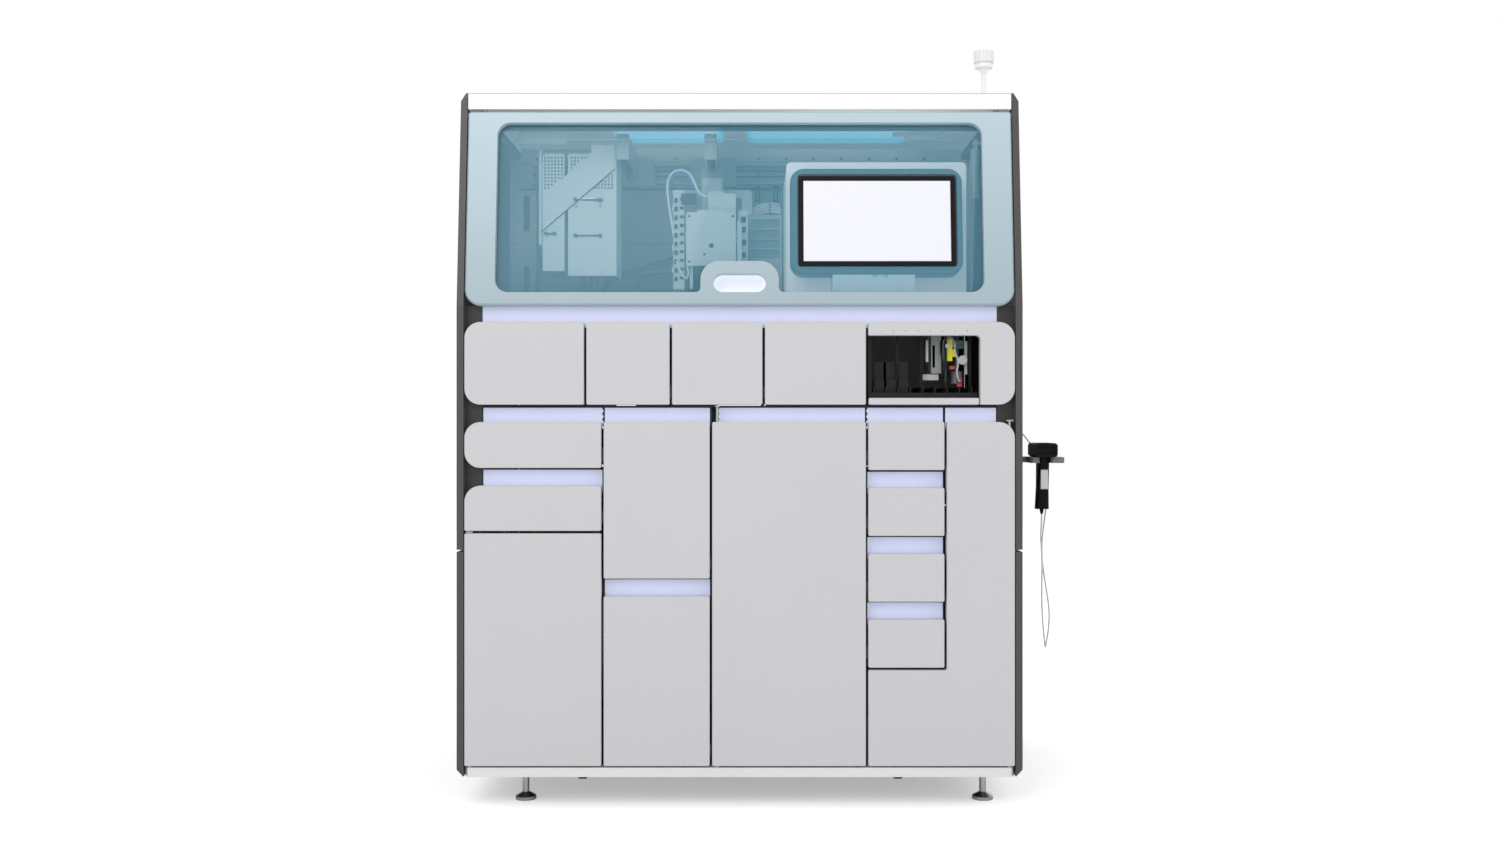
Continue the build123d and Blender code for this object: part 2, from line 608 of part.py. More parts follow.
def touch_screen():
    """Black bezel with the display glass set flush in it."""
    y0 = FRONT_Y + SCREEN_SET
    bezel = plate(rect_points(SCREEN_X0, SCREEN_X1, SCREEN_Z0, SCREEN_Z1), (4,) * 4, y0, FRONT_Y + HOUSING_SET)
    glass = (SCREEN_X0 + BEZEL, SCREEN_X1 - BEZEL, SCREEN_Z0 + BEZEL, SCREEN_Z1 - BEZEL)
    bezel -= bx(glass[0], glass[1], y0, y0 + 1.5, glass[2], glass[3])
    return [tilted(bezel), tilted(bx(glass[0], glass[1], y0 + 0.5, y0 + 1.5, glass[2], glass[3]))]


def screen_pedestal():
    back = hood_y(HOUSING_Z0, HOUSING_SET)
    foot = DECK_Z - 8 + DECK_T
    pedestal = bx(PEDESTAL_X0, PEDESTAL_X1, back, back + 60, foot, HOUSING_Z0 + 10)
    pedestal -= tilted(bx(HOUSING_X0, HOUSING_X1, FRONT_Y, FRONT_Y + HOUSING_SET + 38, HOUSING_Z0, HOUSING_Z1))
    pedestal = pedestal.solids().sort_by(SortBy.VOLUME)[-1]
    return [pedestal]


MODULE_Y0, MODULE_Y1 = FRONT_Y + 125, BACK_WALL_Y - 60
MODULE_TOP = SCREEN_Z1 + 41.4
MODULE_X1 = FRONT_HALF - 96
MODULE_X0 = MODULE_X1 - 442


def module_cover():
    """White cover over the module behind the screen: open below, with a notch for the strut."""
    cover = bx(MODULE_X0, MODULE_X1, MODULE_Y0, MODULE_Y1, DECK_Z - 2, MODULE_TOP)
    cover = fillet(cover.edges().filter_by(Axis.Y).sort_by(Axis.Z)[-2:], 12)
    cover -= bx(MODULE_X0 + 3, MODULE_X1 - 3, MODULE_Y0 + 3, MODULE_Y1, DECK_Z - 2, MODULE_TOP - 3)
    return [cover]


# Gantry: the beam on the back wall with the pipetting and gripper arms
BEAM_Y1 = BACK_WALL_Y
BEAM_Y0 = BEAM_Y1 - 45
BEAM_Z0, BEAM_Z1 = 1548.0, 1615.0
BEAM_X = FRONT_HALF - 92
GUIDE_R = 5.0
THERMAL_W = 88.0
THERMAL_X1 = MODULE_X0 - 6
THERMAL_X0 = THERMAL_X1 - THERMAL_W
GRIP_X = THERMAL_X0 - 93
ARM_FRONT = FRONT_Y + 145
ARM_W = 30.0
ARM_WALL = 5.0
ARM_Z0, ARM_Z1 = BEAM_Z0 + 16, BEAM_Z1 + 12
CARRIAGE_HALF = 60.0
CARRIAGE_T = 24.0


def gantry_rail():
    """Extruded beam with two hardened guide rods on its front."""
    beam = bx(-BEAM_X, BEAM_X, BEAM_Y0, BEAM_Y1, BEAM_Z0, BEAM_Z1)
    beam -= bx(-BEAM_X, BEAM_X, BEAM_Y0, BEAM_Y0 + 8, BEAM_Z0 + 18, BEAM_Z1 - 18)
    rods = [rod_x(GUIDE_R, -BEAM_X, BEAM_X, BEAM_Y0 - GUIDE_R, z) for z in (BEAM_Z0 + 9, BEAM_Z1 - 9)]
    return [beam] + rods


def gantry_arm(x):
    """Carriage that rides on the guide rods, and its channel arm forward over the deck."""
    back = BEAM_Y0 - 2 * GUIDE_R - FIT
    front = back - CARRIAGE_T
    carriage = bx(x - CARRIAGE_HALF, x + CARRIAGE_HALF, front, back, BEAM_Z0 - 4, BEAM_Z1 + 4)
    arm = bx(x - ARM_W / 2, x + ARM_W / 2, ARM_FRONT, front, ARM_Z0, ARM_Z1)
    arm -= bx(x - ARM_W / 2 + ARM_WALL, x + ARM_W / 2 - ARM_WALL, ARM_FRONT + 10, front - 10, ARM_Z0, ARM_Z1 - ARM_WALL)
    return carriage + arm


# Pipetting head: two sheet covers, a folded plate across both, and the holder behind
HEAD_Y0 = ARM_FRONT + 15
HEAD_Y1 = HEAD_Y0 + 140
HEAD_Z0, HEAD_Z1 = 1290.0, 1581.0
HEAD_DROP = 12.0
HEAD_SHEET = 2.5
LEFT_COVER_W, COVER_SPLIT, RIGHT_COVER_W = 54.0, 9.0, 120.0
HEAD_W = LEFT_COVER_W + COVER_SPLIT + RIGHT_COVER_W
HEAD_X0 = GRIP_X - 417
HEAD_X1 = HEAD_X0 + HEAD_W
ARM_X = HEAD_X1 + 2 + ARM_W / 2
BAND_T = 3.0
BAND_X1 = HEAD_W - 3.5
BAND_STEP_X = 121.0
BAND_LOW, BAND_HIGH = (99.0, 185.0), (254.0, 312.0)


def sheet_cover(x0, x1, z0, z1):
    """A folded cover, open at its back and below."""
    shell = bx(x0, x1, HEAD_Y0, HEAD_Y1, z0, z1)
    return shell - bx(x0 + HEAD_SHEET, x1 - HEAD_SHEET, HEAD_Y0 + HEAD_SHEET, HEAD_Y1, z0, z1 - HEAD_SHEET)


def pipetting_head():
    x0, x1 = HEAD_X0, HEAD_X1
    head = sheet_cover(x0, x0 + LEFT_COVER_W, HEAD_Z0, HEAD_Z1)
    head += sheet_cover(x1 - RIGHT_COVER_W, x1, HEAD_Z0 - HEAD_DROP, HEAD_Z1)
    points = [(x0, HEAD_Z0 + BAND_LOW[0]), (x0 + BAND_X1, HEAD_Z0 + BAND_HIGH[0]), (x0 + BAND_X1, HEAD_Z0 + BAND_HIGH[1]),
              (x0 + BAND_STEP_X, HEAD_Z0 + BAND_HIGH[1]), (x0 + BAND_STEP_X, HEAD_Z1), (x0, HEAD_Z0 + BAND_LOW[1])]
    head += plate(points, (0,) * len(points), HEAD_Y0 - BAND_T, HEAD_Y0)
    head += bx(x0 + 40, x1 - 30, HEAD_Y1 - 30, HEAD_Y1 - 12, HEAD_Z0 + 30, HEAD_Z1 - HEAD_SHEET)
    head += bx(x1 - 40, ARM_X - ARM_W / 2, HEAD_Y1 - 60, HEAD_Y1 - 12, ARM_Z0, HEAD_Z1 - HEAD_SHEET)
    return [head]


NOZZLE_X = (91.0, 106.0, 127.0)
NOZZLE_R = 6.0
NOZZLE_Y = HEAD_Y1 - 42


def pipette_nozzles():
    """Three nozzles on their carriage, sliding down in front of the head's holder."""
    block = bx(HEAD_X0 + 78, HEAD_X0 + 140, NOZZLE_Y - 8, HEAD_Y1 - 30 - FIT, HEAD_Z0 + 60, HEAD_Z0 + 130)
    for dx in NOZZLE_X:
        block += rod(NOZZLE_R, HEAD_X0 + dx, NOZZLE_Y, HEAD_Z0 - 8, HEAD_Z0 + 60)
        block += Pos(HEAD_X0 + dx, NOZZLE_Y, HEAD_Z0 - 28) * Cone(2.5, 5, 40)
    return [block]


# Gripper unit: front plate, body, an upright with the cables on each side, and two fingers
GRIP_Y0, GRIP_Y1 = HEAD_Y0 + 29, HEAD_Y0 + 115
GRIP_SLIDE_T = 20.0
GRIP_PLATE_Z = (1306.0, 1440.0)
GRIP_HALF = 62.0


def gripper_head():
    x, y0, y1 = GRIP_X, GRIP_Y0, GRIP_Y1
    z0, z1 = GRIP_PLATE_Z
    body = bx(x - GRIP_HALF, x + GRIP_HALF, y0, y0 + 6, z0, z1)
    body += bx(x - 34, x + 40, y0, y0 + 6, z1, z1 + 6)
    body += bx(x - GRIP_HALF + 8, x + GRIP_HALF - 8, y0 + 6, y1, z0 + 14, z1 - 10)
    body += bx(x - 8, x + GRIP_HALF, y0 + 20, y0 + 26, z1 - 20, z1 + 50)
    body += bx(x - 96, x - 68, y0 + 26, y0 + 56, z0 - 56, z1 + 60)
    body += bx(x + 68, x + 92, y0 + 36, y0 + 66, z0 - 6, z1 + 10)
    body += bx(x - 68, x + 68, y0 + 40, y0 + 52, z0 + 60, z0 + 90)
    body += bx(x - 25, x + 25, y1, y1 + GRIP_SLIDE_T, z0 + 24, z1 + 100)
    for side in (-1, 1):
        body += bx(x + side * 46, x + side * 54, y0 + 16, y0 + 60, z0 - 56, z0 + 16)
    return [body]


def gripper_holder():
    """The slide plate fixed under the arm that the gripper's back runs on."""
    y = GRIP_Y1 + GRIP_SLIDE_T + FIT
    return bx(GRIP_X - 30, GRIP_X + 30, y, y + GRIP_SLIDE_T, GRIP_PLATE_Z[1] - 40, ARM_Z0 + ARM_WALL)


# Thermal module: a block with four rows of cooling fins that face the front
THERMAL_Y0, THERMAL_Y1 = GRIP_Y1 + 60, GRIP_Y1 + 180
THERMAL_TOP = 1455.0
FIN_ROWS = 4
FIN_PITCH, FIN_H = 26.0, 22.0


def thermal_module():
    block = bx(THERMAL_X0, THERMAL_X1, THERMAL_Y0, THERMAL_Y1, DECK_Z - 2, THERMAL_TOP)
    for row in range(FIN_ROWS):
        z1 = THERMAL_TOP - 12 - row * FIN_PITCH
        block -= bx(THERMAL_X0 + 6, THERMAL_X1 - 6, THERMAL_Y0, THERMAL_Y0 + 12, z1 - FIN_H, z1)
    return [block]


# Front layout: each row as (low edge of the front, its top edge, top of its grip strip)
ROW_GAP = 5.0
GRIP_H = 37.0
L1_H, L2_H, C2_UP_H, REAGENT_H = 109.0, 107.0, 371.0, 114.0


def row_below(top_row, height):
    """A row whose grip strip ends just under the row above it."""
    strip = top_row[0] - ROW_GAP
    return (strip - GRIP_H - height, strip - GRIP_H, strip)


L1_ROW = (ROW_TOP - L1_H, ROW_TOP, STRIP_TOP)
L2_ROW = row_below(L1_ROW, L2_H)
L3_TOP = L2_ROW[0] - GAP
C2_UP = (ROW_TOP - C2_UP_H, ROW_TOP, STRIP_TOP)
C2_LOW_STRIP = C2_UP[0] - ROW_GAP
C2_LOW = (DOOR_Z, C2_LOW_STRIP - GRIP_H, C2_LOW_STRIP)
C4_ROWS = [(ROW_TOP - REAGENT_H, ROW_TOP, STRIP_TOP)]
for _ in range(3):
    C4_ROWS.append(row_below(C4_ROWS[-1], REAGENT_H))
LOWER_SHELF_Z = C4_ROWS[-1][0] - 2
DOOR_FOOT_TOP = C4_ROWS[-1][0] - GAP
BAY_END_W = 82.0
BAY_X1 = FRONT_HALF - BAY_END_W
BAY_Z0, BAY_Z1 = UPPER_Z + 16, UPPER_TOP - 32
INNER_X = FRAME_HALF - POST_W


def walls(left, right):
    """The faces of the uprights on each side of a column, and the front's own edges."""
    left_wall = left + DIVIDER_T / 2 if left in COLUMN_X + UPPER_X else -INNER_X
    right_wall = right - DIVIDER_T / 2 if right in COLUMN_X + UPPER_X else INNER_X
    left_edge = left + GAP / 2 if left in COLUMN_X + UPPER_X else -FRONT_HALF
    return left_wall, right_wall, left_edge, right - GAP / 2


def tray(left_wall, right_wall, z0, z1, depth=TRAY_DEPTH):
    """A folded drawer box, open at the top, that hangs between its runners."""
    x0 = left_wall + RUNNER_T + FIT
    x1 = right_wall - RUNNER_T - FIT
    box = bx(x0, x1, PANEL_BACK, PANEL_BACK + depth, z0, z1)
    return box - bx(x0 + TRAY_WALL, x1 - TRAY_WALL, PANEL_BACK + TRAY_WALL, PANEL_BACK + depth - TRAY_WALL,
                    z0 + TRAY_WALL, z1 + 1)


def drawer(left, right, row, left_top=SMALL_R, left_low=SMALL_R):
    """Front, grip strip where it has one, and tray."""
    z0, z1, strip = row
    left_wall, right_wall, x0, x1 = walls(left, right)
    pieces = [front_panel(x0, x1, z0, z1, left_top=left_top, left_low=left_low)]
    if strip:
        pieces.append(grip_strip(max(x0, -FLANGE_X + 2), x1, z1, strip))
    pieces.append(tray(left_wall, right_wall, z0 + 6, z1 - 20))
    return pieces


DRAWERS = {
    "upper_left_drawer": (-FRONT_HALF, COLUMN_X[0], L1_ROW, CORNER_R, CORNER_R),
    "lower_left_drawer": (-FRONT_HALF, COLUMN_X[0], L2_ROW, CORNER_R, SMALL_R),
    "consumables_drawer": (COLUMN_X[0], COLUMN_X[1], C2_UP, SMALL_R, SMALL_R),
    "waste_drawer": (COLUMN_X[0], COLUMN_X[1], C2_LOW, SMALL_R, SMALL_R),
    "plate_drawer": (UPPER_X[0], UPPER_X[1], (UPPER_Z, UPPER_TOP, 0), SMALL_R, SMALL_R),
    "tip_drawer": (UPPER_X[1], UPPER_X[2], (UPPER_Z, UPPER_TOP, 0), SMALL_R, SMALL_R),
    "cartridge_drawer": (UPPER_X[2], UPPER_X[3], (UPPER_Z, UPPER_TOP, 0), SMALL_R, SMALL_R),
}
for number, reagent_row in enumerate(C4_ROWS, start=1):
    DRAWERS[f"reagent_drawer_{number}"] = (COLUMN_X[2], COLUMN_X[3], reagent_row, SMALL_R, SMALL_R)


def drawer_runners():
    """A fixed rail on each side of every tray, screwed to the uprights."""
    rails = []
    for left, right, row, _, _ in DRAWERS.values():
        left_wall, right_wall, _, _ = walls(left, right)
        z = row[0] + 16
        for x, side in ((left_wall, 1), (right_wall, -1)):
            rail = bx(x, x + side * RUNNER_T, FRAME_Y, FRAME_Y + TRAY_DEPTH - 20, z, z + RUNNER_H)
            groove = bx(x + side * 3, x + side * RUNNER_T, FRAME_Y + 5, FRAME_Y + TRAY_DEPTH - 25, z + 9, z + 19)
            rails.append(rail - groove)
    return rails


# Hinged doors
PIVOT_Y = FRONT_Y + PIN_SET
LEFT_PIVOT = -FRONT_HALF + PIN_EDGE
MIDDLE_PIVOT = COLUMN_X[1] + GAP / 2 + PIN_EDGE
RIGHT_PIVOT = FRONT_HALF - PIN_EDGE
BRACKET_Z = L3_TOP + 1.5
RIGHT_BRACKET_Z = ROW_TOP + 2


def bored(panel, x, top, reach=0.0):
    """Cut the two hinge bores into a door's edge at its pivot."""
    bore = PIN_R + PIN_FIT
    panel -= rod(bore, x, PIVOT_Y, DOOR_Z - 1, DOOR_Z + PIN_DEEP + 1)
    return panel - rod(bore, x, PIVOT_Y, top - PIN_DEEP - 1 - reach, top + 1)


def left_door():
    panel = front_panel(-FRONT_HALF, COLUMN_X[0] - GAP / 2, DOOR_Z, L3_TOP)
    return [bored(panel, LEFT_PIVOT, L3_TOP)]


def middle_door():
    x0, x1 = COLUMN_X[1] + GAP / 2, COLUMN_X[2] - GAP / 2
    panel = bored(front_panel(x0, x1, DOOR_Z, ROW_TOP), MIDDLE_PIVOT, ROW_TOP)
    return [panel, grip_strip(x0 + PIN_EDGE + 4, x1, ROW_TOP, STRIP_TOP)]


def right_door():
    """The door whose foot reaches under the reagent drawers."""
    x0, x1, x2 = COLUMN_X[2] + GAP / 2, COLUMN_X[3] + GAP / 2, FRONT_HALF
    points = [(x0, DOOR_Z), (x2, DOOR_Z), (x2, ROW_TOP), (x1, ROW_TOP), (x1, DOOR_FOOT_TOP), (x0, DOOR_FOOT_TOP)]
    radii = (SMALL_R, SMALL_R, CORNER_R, SMALL_R, SMALL_R, SMALL_R)
    panel = plate(points, radii, FRONT_Y, PANEL_BACK)
    panel = chamfer(panel.faces().sort_by(Axis.Y)[0].edges(), EDGE_R)
    return [bored(panel, RIGHT_PIVOT, ROW_TOP, 12), grip_strip(x1, FLANGE_X - 2, ROW_TOP, STRIP_TOP)]


def door_hinges():
    """Pins that stand on the plinth, and brackets that carry the top pins."""
    seat = FRONT_Y + FLANGE_SET
    pieces = []
    for x in (LEFT_PIVOT, MIDDLE_PIVOT, RIGHT_PIVOT):
        pieces.append(rod(PIN_R, x, PIVOT_Y, PLINTH_TOP, DOOR_Z + PIN_DEEP))
        pieces[-1] += rod(PIN_R + 2.5, x, PIVOT_Y, PLINTH_TOP, DOOR_Z - FIT)
    for x, z, low in ((LEFT_PIVOT, BRACKET_Z, L3_TOP), (RIGHT_PIVOT, RIGHT_BRACKET_Z, ROW_TOP - 12)):
        bracket = bx(x - 8, x + 8, PIVOT_Y - 5, seat, z, z + LUG_T)
        pieces.append(bracket + rod(PIN_R, x, PIVOT_Y, low - PIN_DEEP, z))
    z = STRIP_TOP + 2
    arm = bx(MIDDLE_PIVOT - 5, MIDDLE_PIVOT + 5, PIVOT_Y - 5, FRAME_Y, z, z + FLOOR_T)
    pieces.append(arm + rod(PIN_R, MIDDLE_PIVOT, PIVOT_Y, ROW_TOP - PIN_DEEP, z))
    return pieces


# Upper row: fixed fronts and the rack bay
BOSS_R = 5.0


def fixed_fronts():
    """The blank front on the left and the frame round the rack bay, each on two bosses."""
    left = front_panel(-FRONT_HALF, UPPER_X[0] - GAP / 2, UPPER_Z, UPPER_TOP, left_top=CORNER_R, left_low=CORNER_R)
    x0 = UPPER_X[3] + GAP / 2
    points = [(x0, BAY_Z1), (BAY_X1, BAY_Z1), (BAY_X1, UPPER_Z), (FRONT_HALF, UPPER_Z), (FRONT_HALF, UPPER_TOP),
              (x0, UPPER_TOP)]
    right = plate(points, (2, 10, SMALL_R, CORNER_R, CORNER_R, SMALL_R), FRONT_Y, PANEL_BACK)
    right = chamfer(right.faces().sort_by(Axis.Y)[0].edges(), EDGE_R)
    for z in (UPPER_Z + 50, UPPER_TOP - 50):
        left += rod_y(BOSS_R, PANEL_BACK, FRONT_Y + FLANGE_SET, -FRONT_HALF + 20, z)
        right += rod_y(BOSS_R, PANEL_BACK, FRONT_Y + FLANGE_SET, FRONT_HALF - 20, z)
    return [left, right]


LANES = 8
LANE_PITCH = 29.2
RACK_W = 23.0
RACK_LONG = 260.0
RACK_Y0 = FRONT_Y + 43
RACK_Y1 = RACK_Y0 + RACK_LONG
RACK_Z0 = BAY_Z0 + 13
RACK_Z1 = RACK_Z0 + 74
TRAY_Z = RACK_Z0 - FIT
BAY_X0 = REAGENT_X + 4
LANE_X = BAY_X0 + 28.7
BAY_END = BAY_X1 - 4


def rack_bay_lip():
    return [front_panel(BAY_X0, BAY_X1 - 3, UPPER_Z, BAY_Z0)]


def rack_tray():
    """The loading tray: lane floors, low lane walls and slim guide posts at every second lane."""
    base = bx(BAY_X0, BAY_END, PANEL_BACK, RACK_Y1 + 20, STRIP_TOP + 2 + FLOOR_T, TRAY_Z)
    base -= bx(BAY_X0 + 6, BAY_END - 6, PANEL_BACK + 12, RACK_Y1, STRIP_TOP + 2 + FLOOR_T, TRAY_Z - 5)
    for lane in range(LANES + 1):
        x = LANE_X + (lane - 0.5) * LANE_PITCH
        base += bx(x - 1.5, x + 1.5, PANEL_BACK + 6, RACK_Y1 + 20, TRAY_Z, TRAY_Z + 14)
        if lane % 2 == 0:
            for shift in (-2.8, 0.8):
                base += bx(x + shift, x + shift + 2, PANEL_BACK + 30, PANEL_BACK + 36, TRAY_Z, BAY_Z1 + 20)
    base += bx(BAY_X0, LANE_X - LANE_PITCH / 2 - 5, PANEL_BACK + 8, PANEL_BACK + 24, TRAY_Z, BAY_Z1 + 20)
    base += bx(BAY_X0, BAY_END, PANEL_BACK + 12, PANEL_BACK + 36, BAY_Z1 + 10, BAY_Z1 + 20)
    return [base]


TUBE_PITCH = 24.0
TUBE_R = 7.0


def sample_rack(lane):
    """A five-position style rack with a grip tab at its front and a row of tube pockets."""
    x = LANE_X + lane * LANE_PITCH
    rack = bx(x - RACK_W / 2, x + RACK_W / 2, RACK_Y0, RACK_Y1, RACK_Z0, RACK_Z1)
    rack -= bx(x - RACK_W / 2, x + RACK_W / 2, RACK_Y0 - 1, RACK_Y0 + 16, RACK_Z0 + 30, RACK_Z1)
    for place in range(9):
        y = RACK_Y0 + 36 + place * TUBE_PITCH
        rack -= rod(TUBE_R, x, y, RACK_Z0 + 12, RACK_Z1 + 1)
    return [rack]


RING_X = BAY_END - 62
READER_Y = FRONT_Y + 65


def sample_module():
    """The tube reader behind the rack lanes: housing, ring, board and pump."""
    y = RACK_Y1 + 20
    top = DECK_Z - 8
    housing = bx(RING_X - 42, RING_X - 18, READER_Y, READER_Y + 80, BAY_Z0 + 60, top)
    board = bx(RING_X - 8, RING_X - 5, READER_Y + 10, READER_Y + 100, BAY_Z0 + 40, top)
    ring = rod_y(15, READER_Y - 4, READER_Y + 10, RING_X, BAY_Z1 - 14)
    ring -= rod_y(9, READER_Y - 6, READER_Y + 12, RING_X, BAY_Z1 - 14)
    pump_x, pump_y = RING_X + 24, READER_Y + 30
    pump = rod(14, pump_x, pump_y, BAY_Z0 + 36, BAY_Z0 + 66) + rod(5, pump_x, pump_y, BAY_Z0 + 66, top)
    wall = bx(BAY_X0, BAY_END, y, y + 6, STRIP_TOP + 2 + FLOOR_T, DECK_Z - 8)
    return [housing, board, ring, pump, wall]


BOTTLE_R = 48.0
BOTTLE_H = 210.0


def reagent_bottles():
    """Supply bottles on the floor behind the middle door."""
    profile = make_face(Polyline((0, 0), (BOTTLE_R - 4, 0), (BOTTLE_R, 4), (BOTTLE_R, BOTTLE_H - 50),
                                 (BOTTLE_R - 24, BOTTLE_H - 22), (BOTTLE_R - 24, BOTTLE_H), (0, BOTTLE_H), close=True))
    bottle = revolve(Rot(90, 0, 0) * profile, Axis.Z)
    low = PLINTH_TOP + FLOOR_T
    first_x, first_y, pitch = MIDDLE_X + 68, FRONT_Y + 105, 2 * BOTTLE_R + 19
    return [Pos(first_x + i * pitch, first_y + j * pitch, low) * bottle for i in range(3) for j in range(2)]


FAN_R = 52.0


def power_module():
    """The supply and control unit behind the left door, with its fan."""
    low = PLINTH_TOP + FLOOR_T
    x0, x1 = -FRAME_HALF + 50, COLUMN_X[0] - 55
    y0, y1 = FRONT_Y + 115, BACK_Y - 195
    fan_x, fan_z = (x0 + x1) / 2, low + 280
    unit = bx(x0, x1, y0, y1, low, low + 380)
    unit -= rod_y(FAN_R, y0 - 1, y0 + 20, fan_x, fan_z)
    unit += rod_y(FAN_R - 34, y0 + 4, y0 + 20, fan_x, fan_z)
    return [unit]


# Hand scanner in its fork on the right side panel, and its cord
SCAN_Y0, SCAN_Y1 = FRONT_Y + 50, FRONT_Y + 139
FORK_Z0, FORK_Z1 = 816.0, 830.0
PRONG = (702.7, 723.4, 751.4, 783.0)
FORK_BACK = (-272.0, -250.0)
SCAN_X = 737.4
HEAD_HALF_W = 27.0
NECK_HALF = 13.0
HANDLE_LOW = 703.0
TRIGGER_T = 5.0
TRIGGER_Z = (752.0, 800.0)
CORD_R = 1.75
CORD_Y = -238.0
GROMMET_T = 6.0
GROMMET_R = 8.0


def scanner_bracket():
    wall = CAB_W / 2
    y0, y1 = FORK_BACK
    plate_back = bx(wall, wall + 5, y0 - 18, y1 + 4, FORK_Z0 - 16, FORK_Z1 + 16)
    fork = bx(wall + 5, PRONG[3], y0, y1, FORK_Z0, FORK_Z1)
    fork += bx(PRONG[0], PRONG[1], -335, y0, FORK_Z0, FORK_Z1)
    fork += bx(PRONG[2], PRONG[3], -335, y0, FORK_Z0, FORK_Z1)
    ends = [e for e in fork.edges().filter_by(Axis.Z) if abs(e.center().Y + 335) < 1 or e.center().X > PRONG[3] - 1]
    fork = chamfer(ends, 4)
    grommet = rod_x(GROMMET_R, wall, wall + GROMMET_T, CORD_Y, GROMMET_Z)
    return [plate_back + fork, grommet]


GROMMET_Z = 893.0


def scanner_section(z, y, half_x, half_y, r):
    face = RectangleRounded(half_x * 2, half_y * 2, r)
    return Pos(SCAN_X, y, z) * face


def handheld_scanner():
    """Head on the prongs, neck between them and the raked handle."""
    low = FORK_Z1 + FIT
    head = bx(SCAN_X - HEAD_HALF_W, SCAN_X + HEAD_HALF_W, SCAN_Y0, SCAN_Y1 + 2, low, low + 34)
    head = fillet(head.edges().filter_by(Axis.Y), 8)
    head -= bx(SCAN_X - 20, SCAN_X + 20, SCAN_Y0, SCAN_Y0 + 4, low + 8, low + 26)
    sections = [scanner_section(low + 1, -298, NECK_HALF, 24, 8), scanner_section(FORK_Z0 - 4, -298, NECK_HALF, 22, 8),
                scanner_section(755, -294, 14, 15, 8), scanner_section(HANDLE_LOW, -288, 16, 14, 8)]
    handle = loft(sections, ruled=True)
    relief = Pos(SCAN_X, -288, HANDLE_LOW - 6) * Cone(3, 5.5, 12)
    body = head + handle + relief
    z0, z1 = TRIGGER_Z
    return [body - bx(SCAN_X - 9, SCAN_X + 9, -330, TRIGGER_BACK, z0 - 1, z1 + 1)]


TRIGGER_BACK = -306.0
TRIGGER_TRAVEL = 3.0


def scanner_trigger():
    z0, z1 = TRIGGER_Z
    y1 = TRIGGER_BACK - TRIGGER_TRAVEL - FIT
    return [fillet(bx(SCAN_X - 8.5, SCAN_X + 8.5, y1 - 12, y1, z0, z1).edges().filter_by(Axis.X).sort_by(Axis.Y)[:2], 4)]


CORD_ROUTE = [
    (676, -238, 893), (694, -238, 893), (713, -237.5, 871), (731, -236, 845), (745, -236.5, 812),
    (757, -238, 772), (761.5, -239, 730), (756, -241, 685), (748.5, -243, 635), (746.5, -245, 585),
    (752, -246, 535), (760.5, -247, 485), (765.5, -248, 440), (762, -251, 400), (756, -256, 374),
    (752, -266, 363), (748, -278, 363.5), (744.5, -287, 380), (741, -289, 412), (737.8, -289.5, 458),
    (736.8, -291, 508), (738.6, -290, 560), (737, -288.5, 606), (734.5, -289.5, 640), (737.4, -288, 667),
    (737.4, -288, 691),
]


def scanner_cord():
    """The cord in its loop below the scanner, as straight runs joined by tangent arcs."""
    points = [Vector(*p) for p in CORD_ROUTE]
    radii = []
    for before, here, after in zip(points, points[1:], points[2:]):
        turn = (here - before).get_angle(after - here)
        short = min((here - before).length, (after - here).length)
        radii.append(0.45 * short / math.tan(math.radians(turn) / 2))
    print("cord radii", [round(r) for r in radii])
    path = FilletPolyline(*points, radius=radii)
    start = Plane(origin=path @ 0, z_dir=path % 0)
    tube = sweep(start * Circle(CORD_R), path)
    print("cord length", round(path.length), "volume ratio", tube.volume / (math.pi * CORD_R ** 2 * path.length))
    return [tube]


# Export
X_SHIFT = (CAB_W / 2 - PRONG[3]) / 2


def hood_pieces():
    """The hood frame, bored for its pins, with the strut's lug in one rigid piece, and the pocket."""
    frame = hood_frame()[0]
    for side in (-1, 1):
        x0, x1 = FRONT_HALF - HINGE_DEEP, FRONT_HALF + 1
        frame -= rod_x(HINGE_R + PIN_FIT, side * x0, side * x1, HINGE_Y, HINGE_Z)
    return [frame + strut_lug()] + handle_pocket()


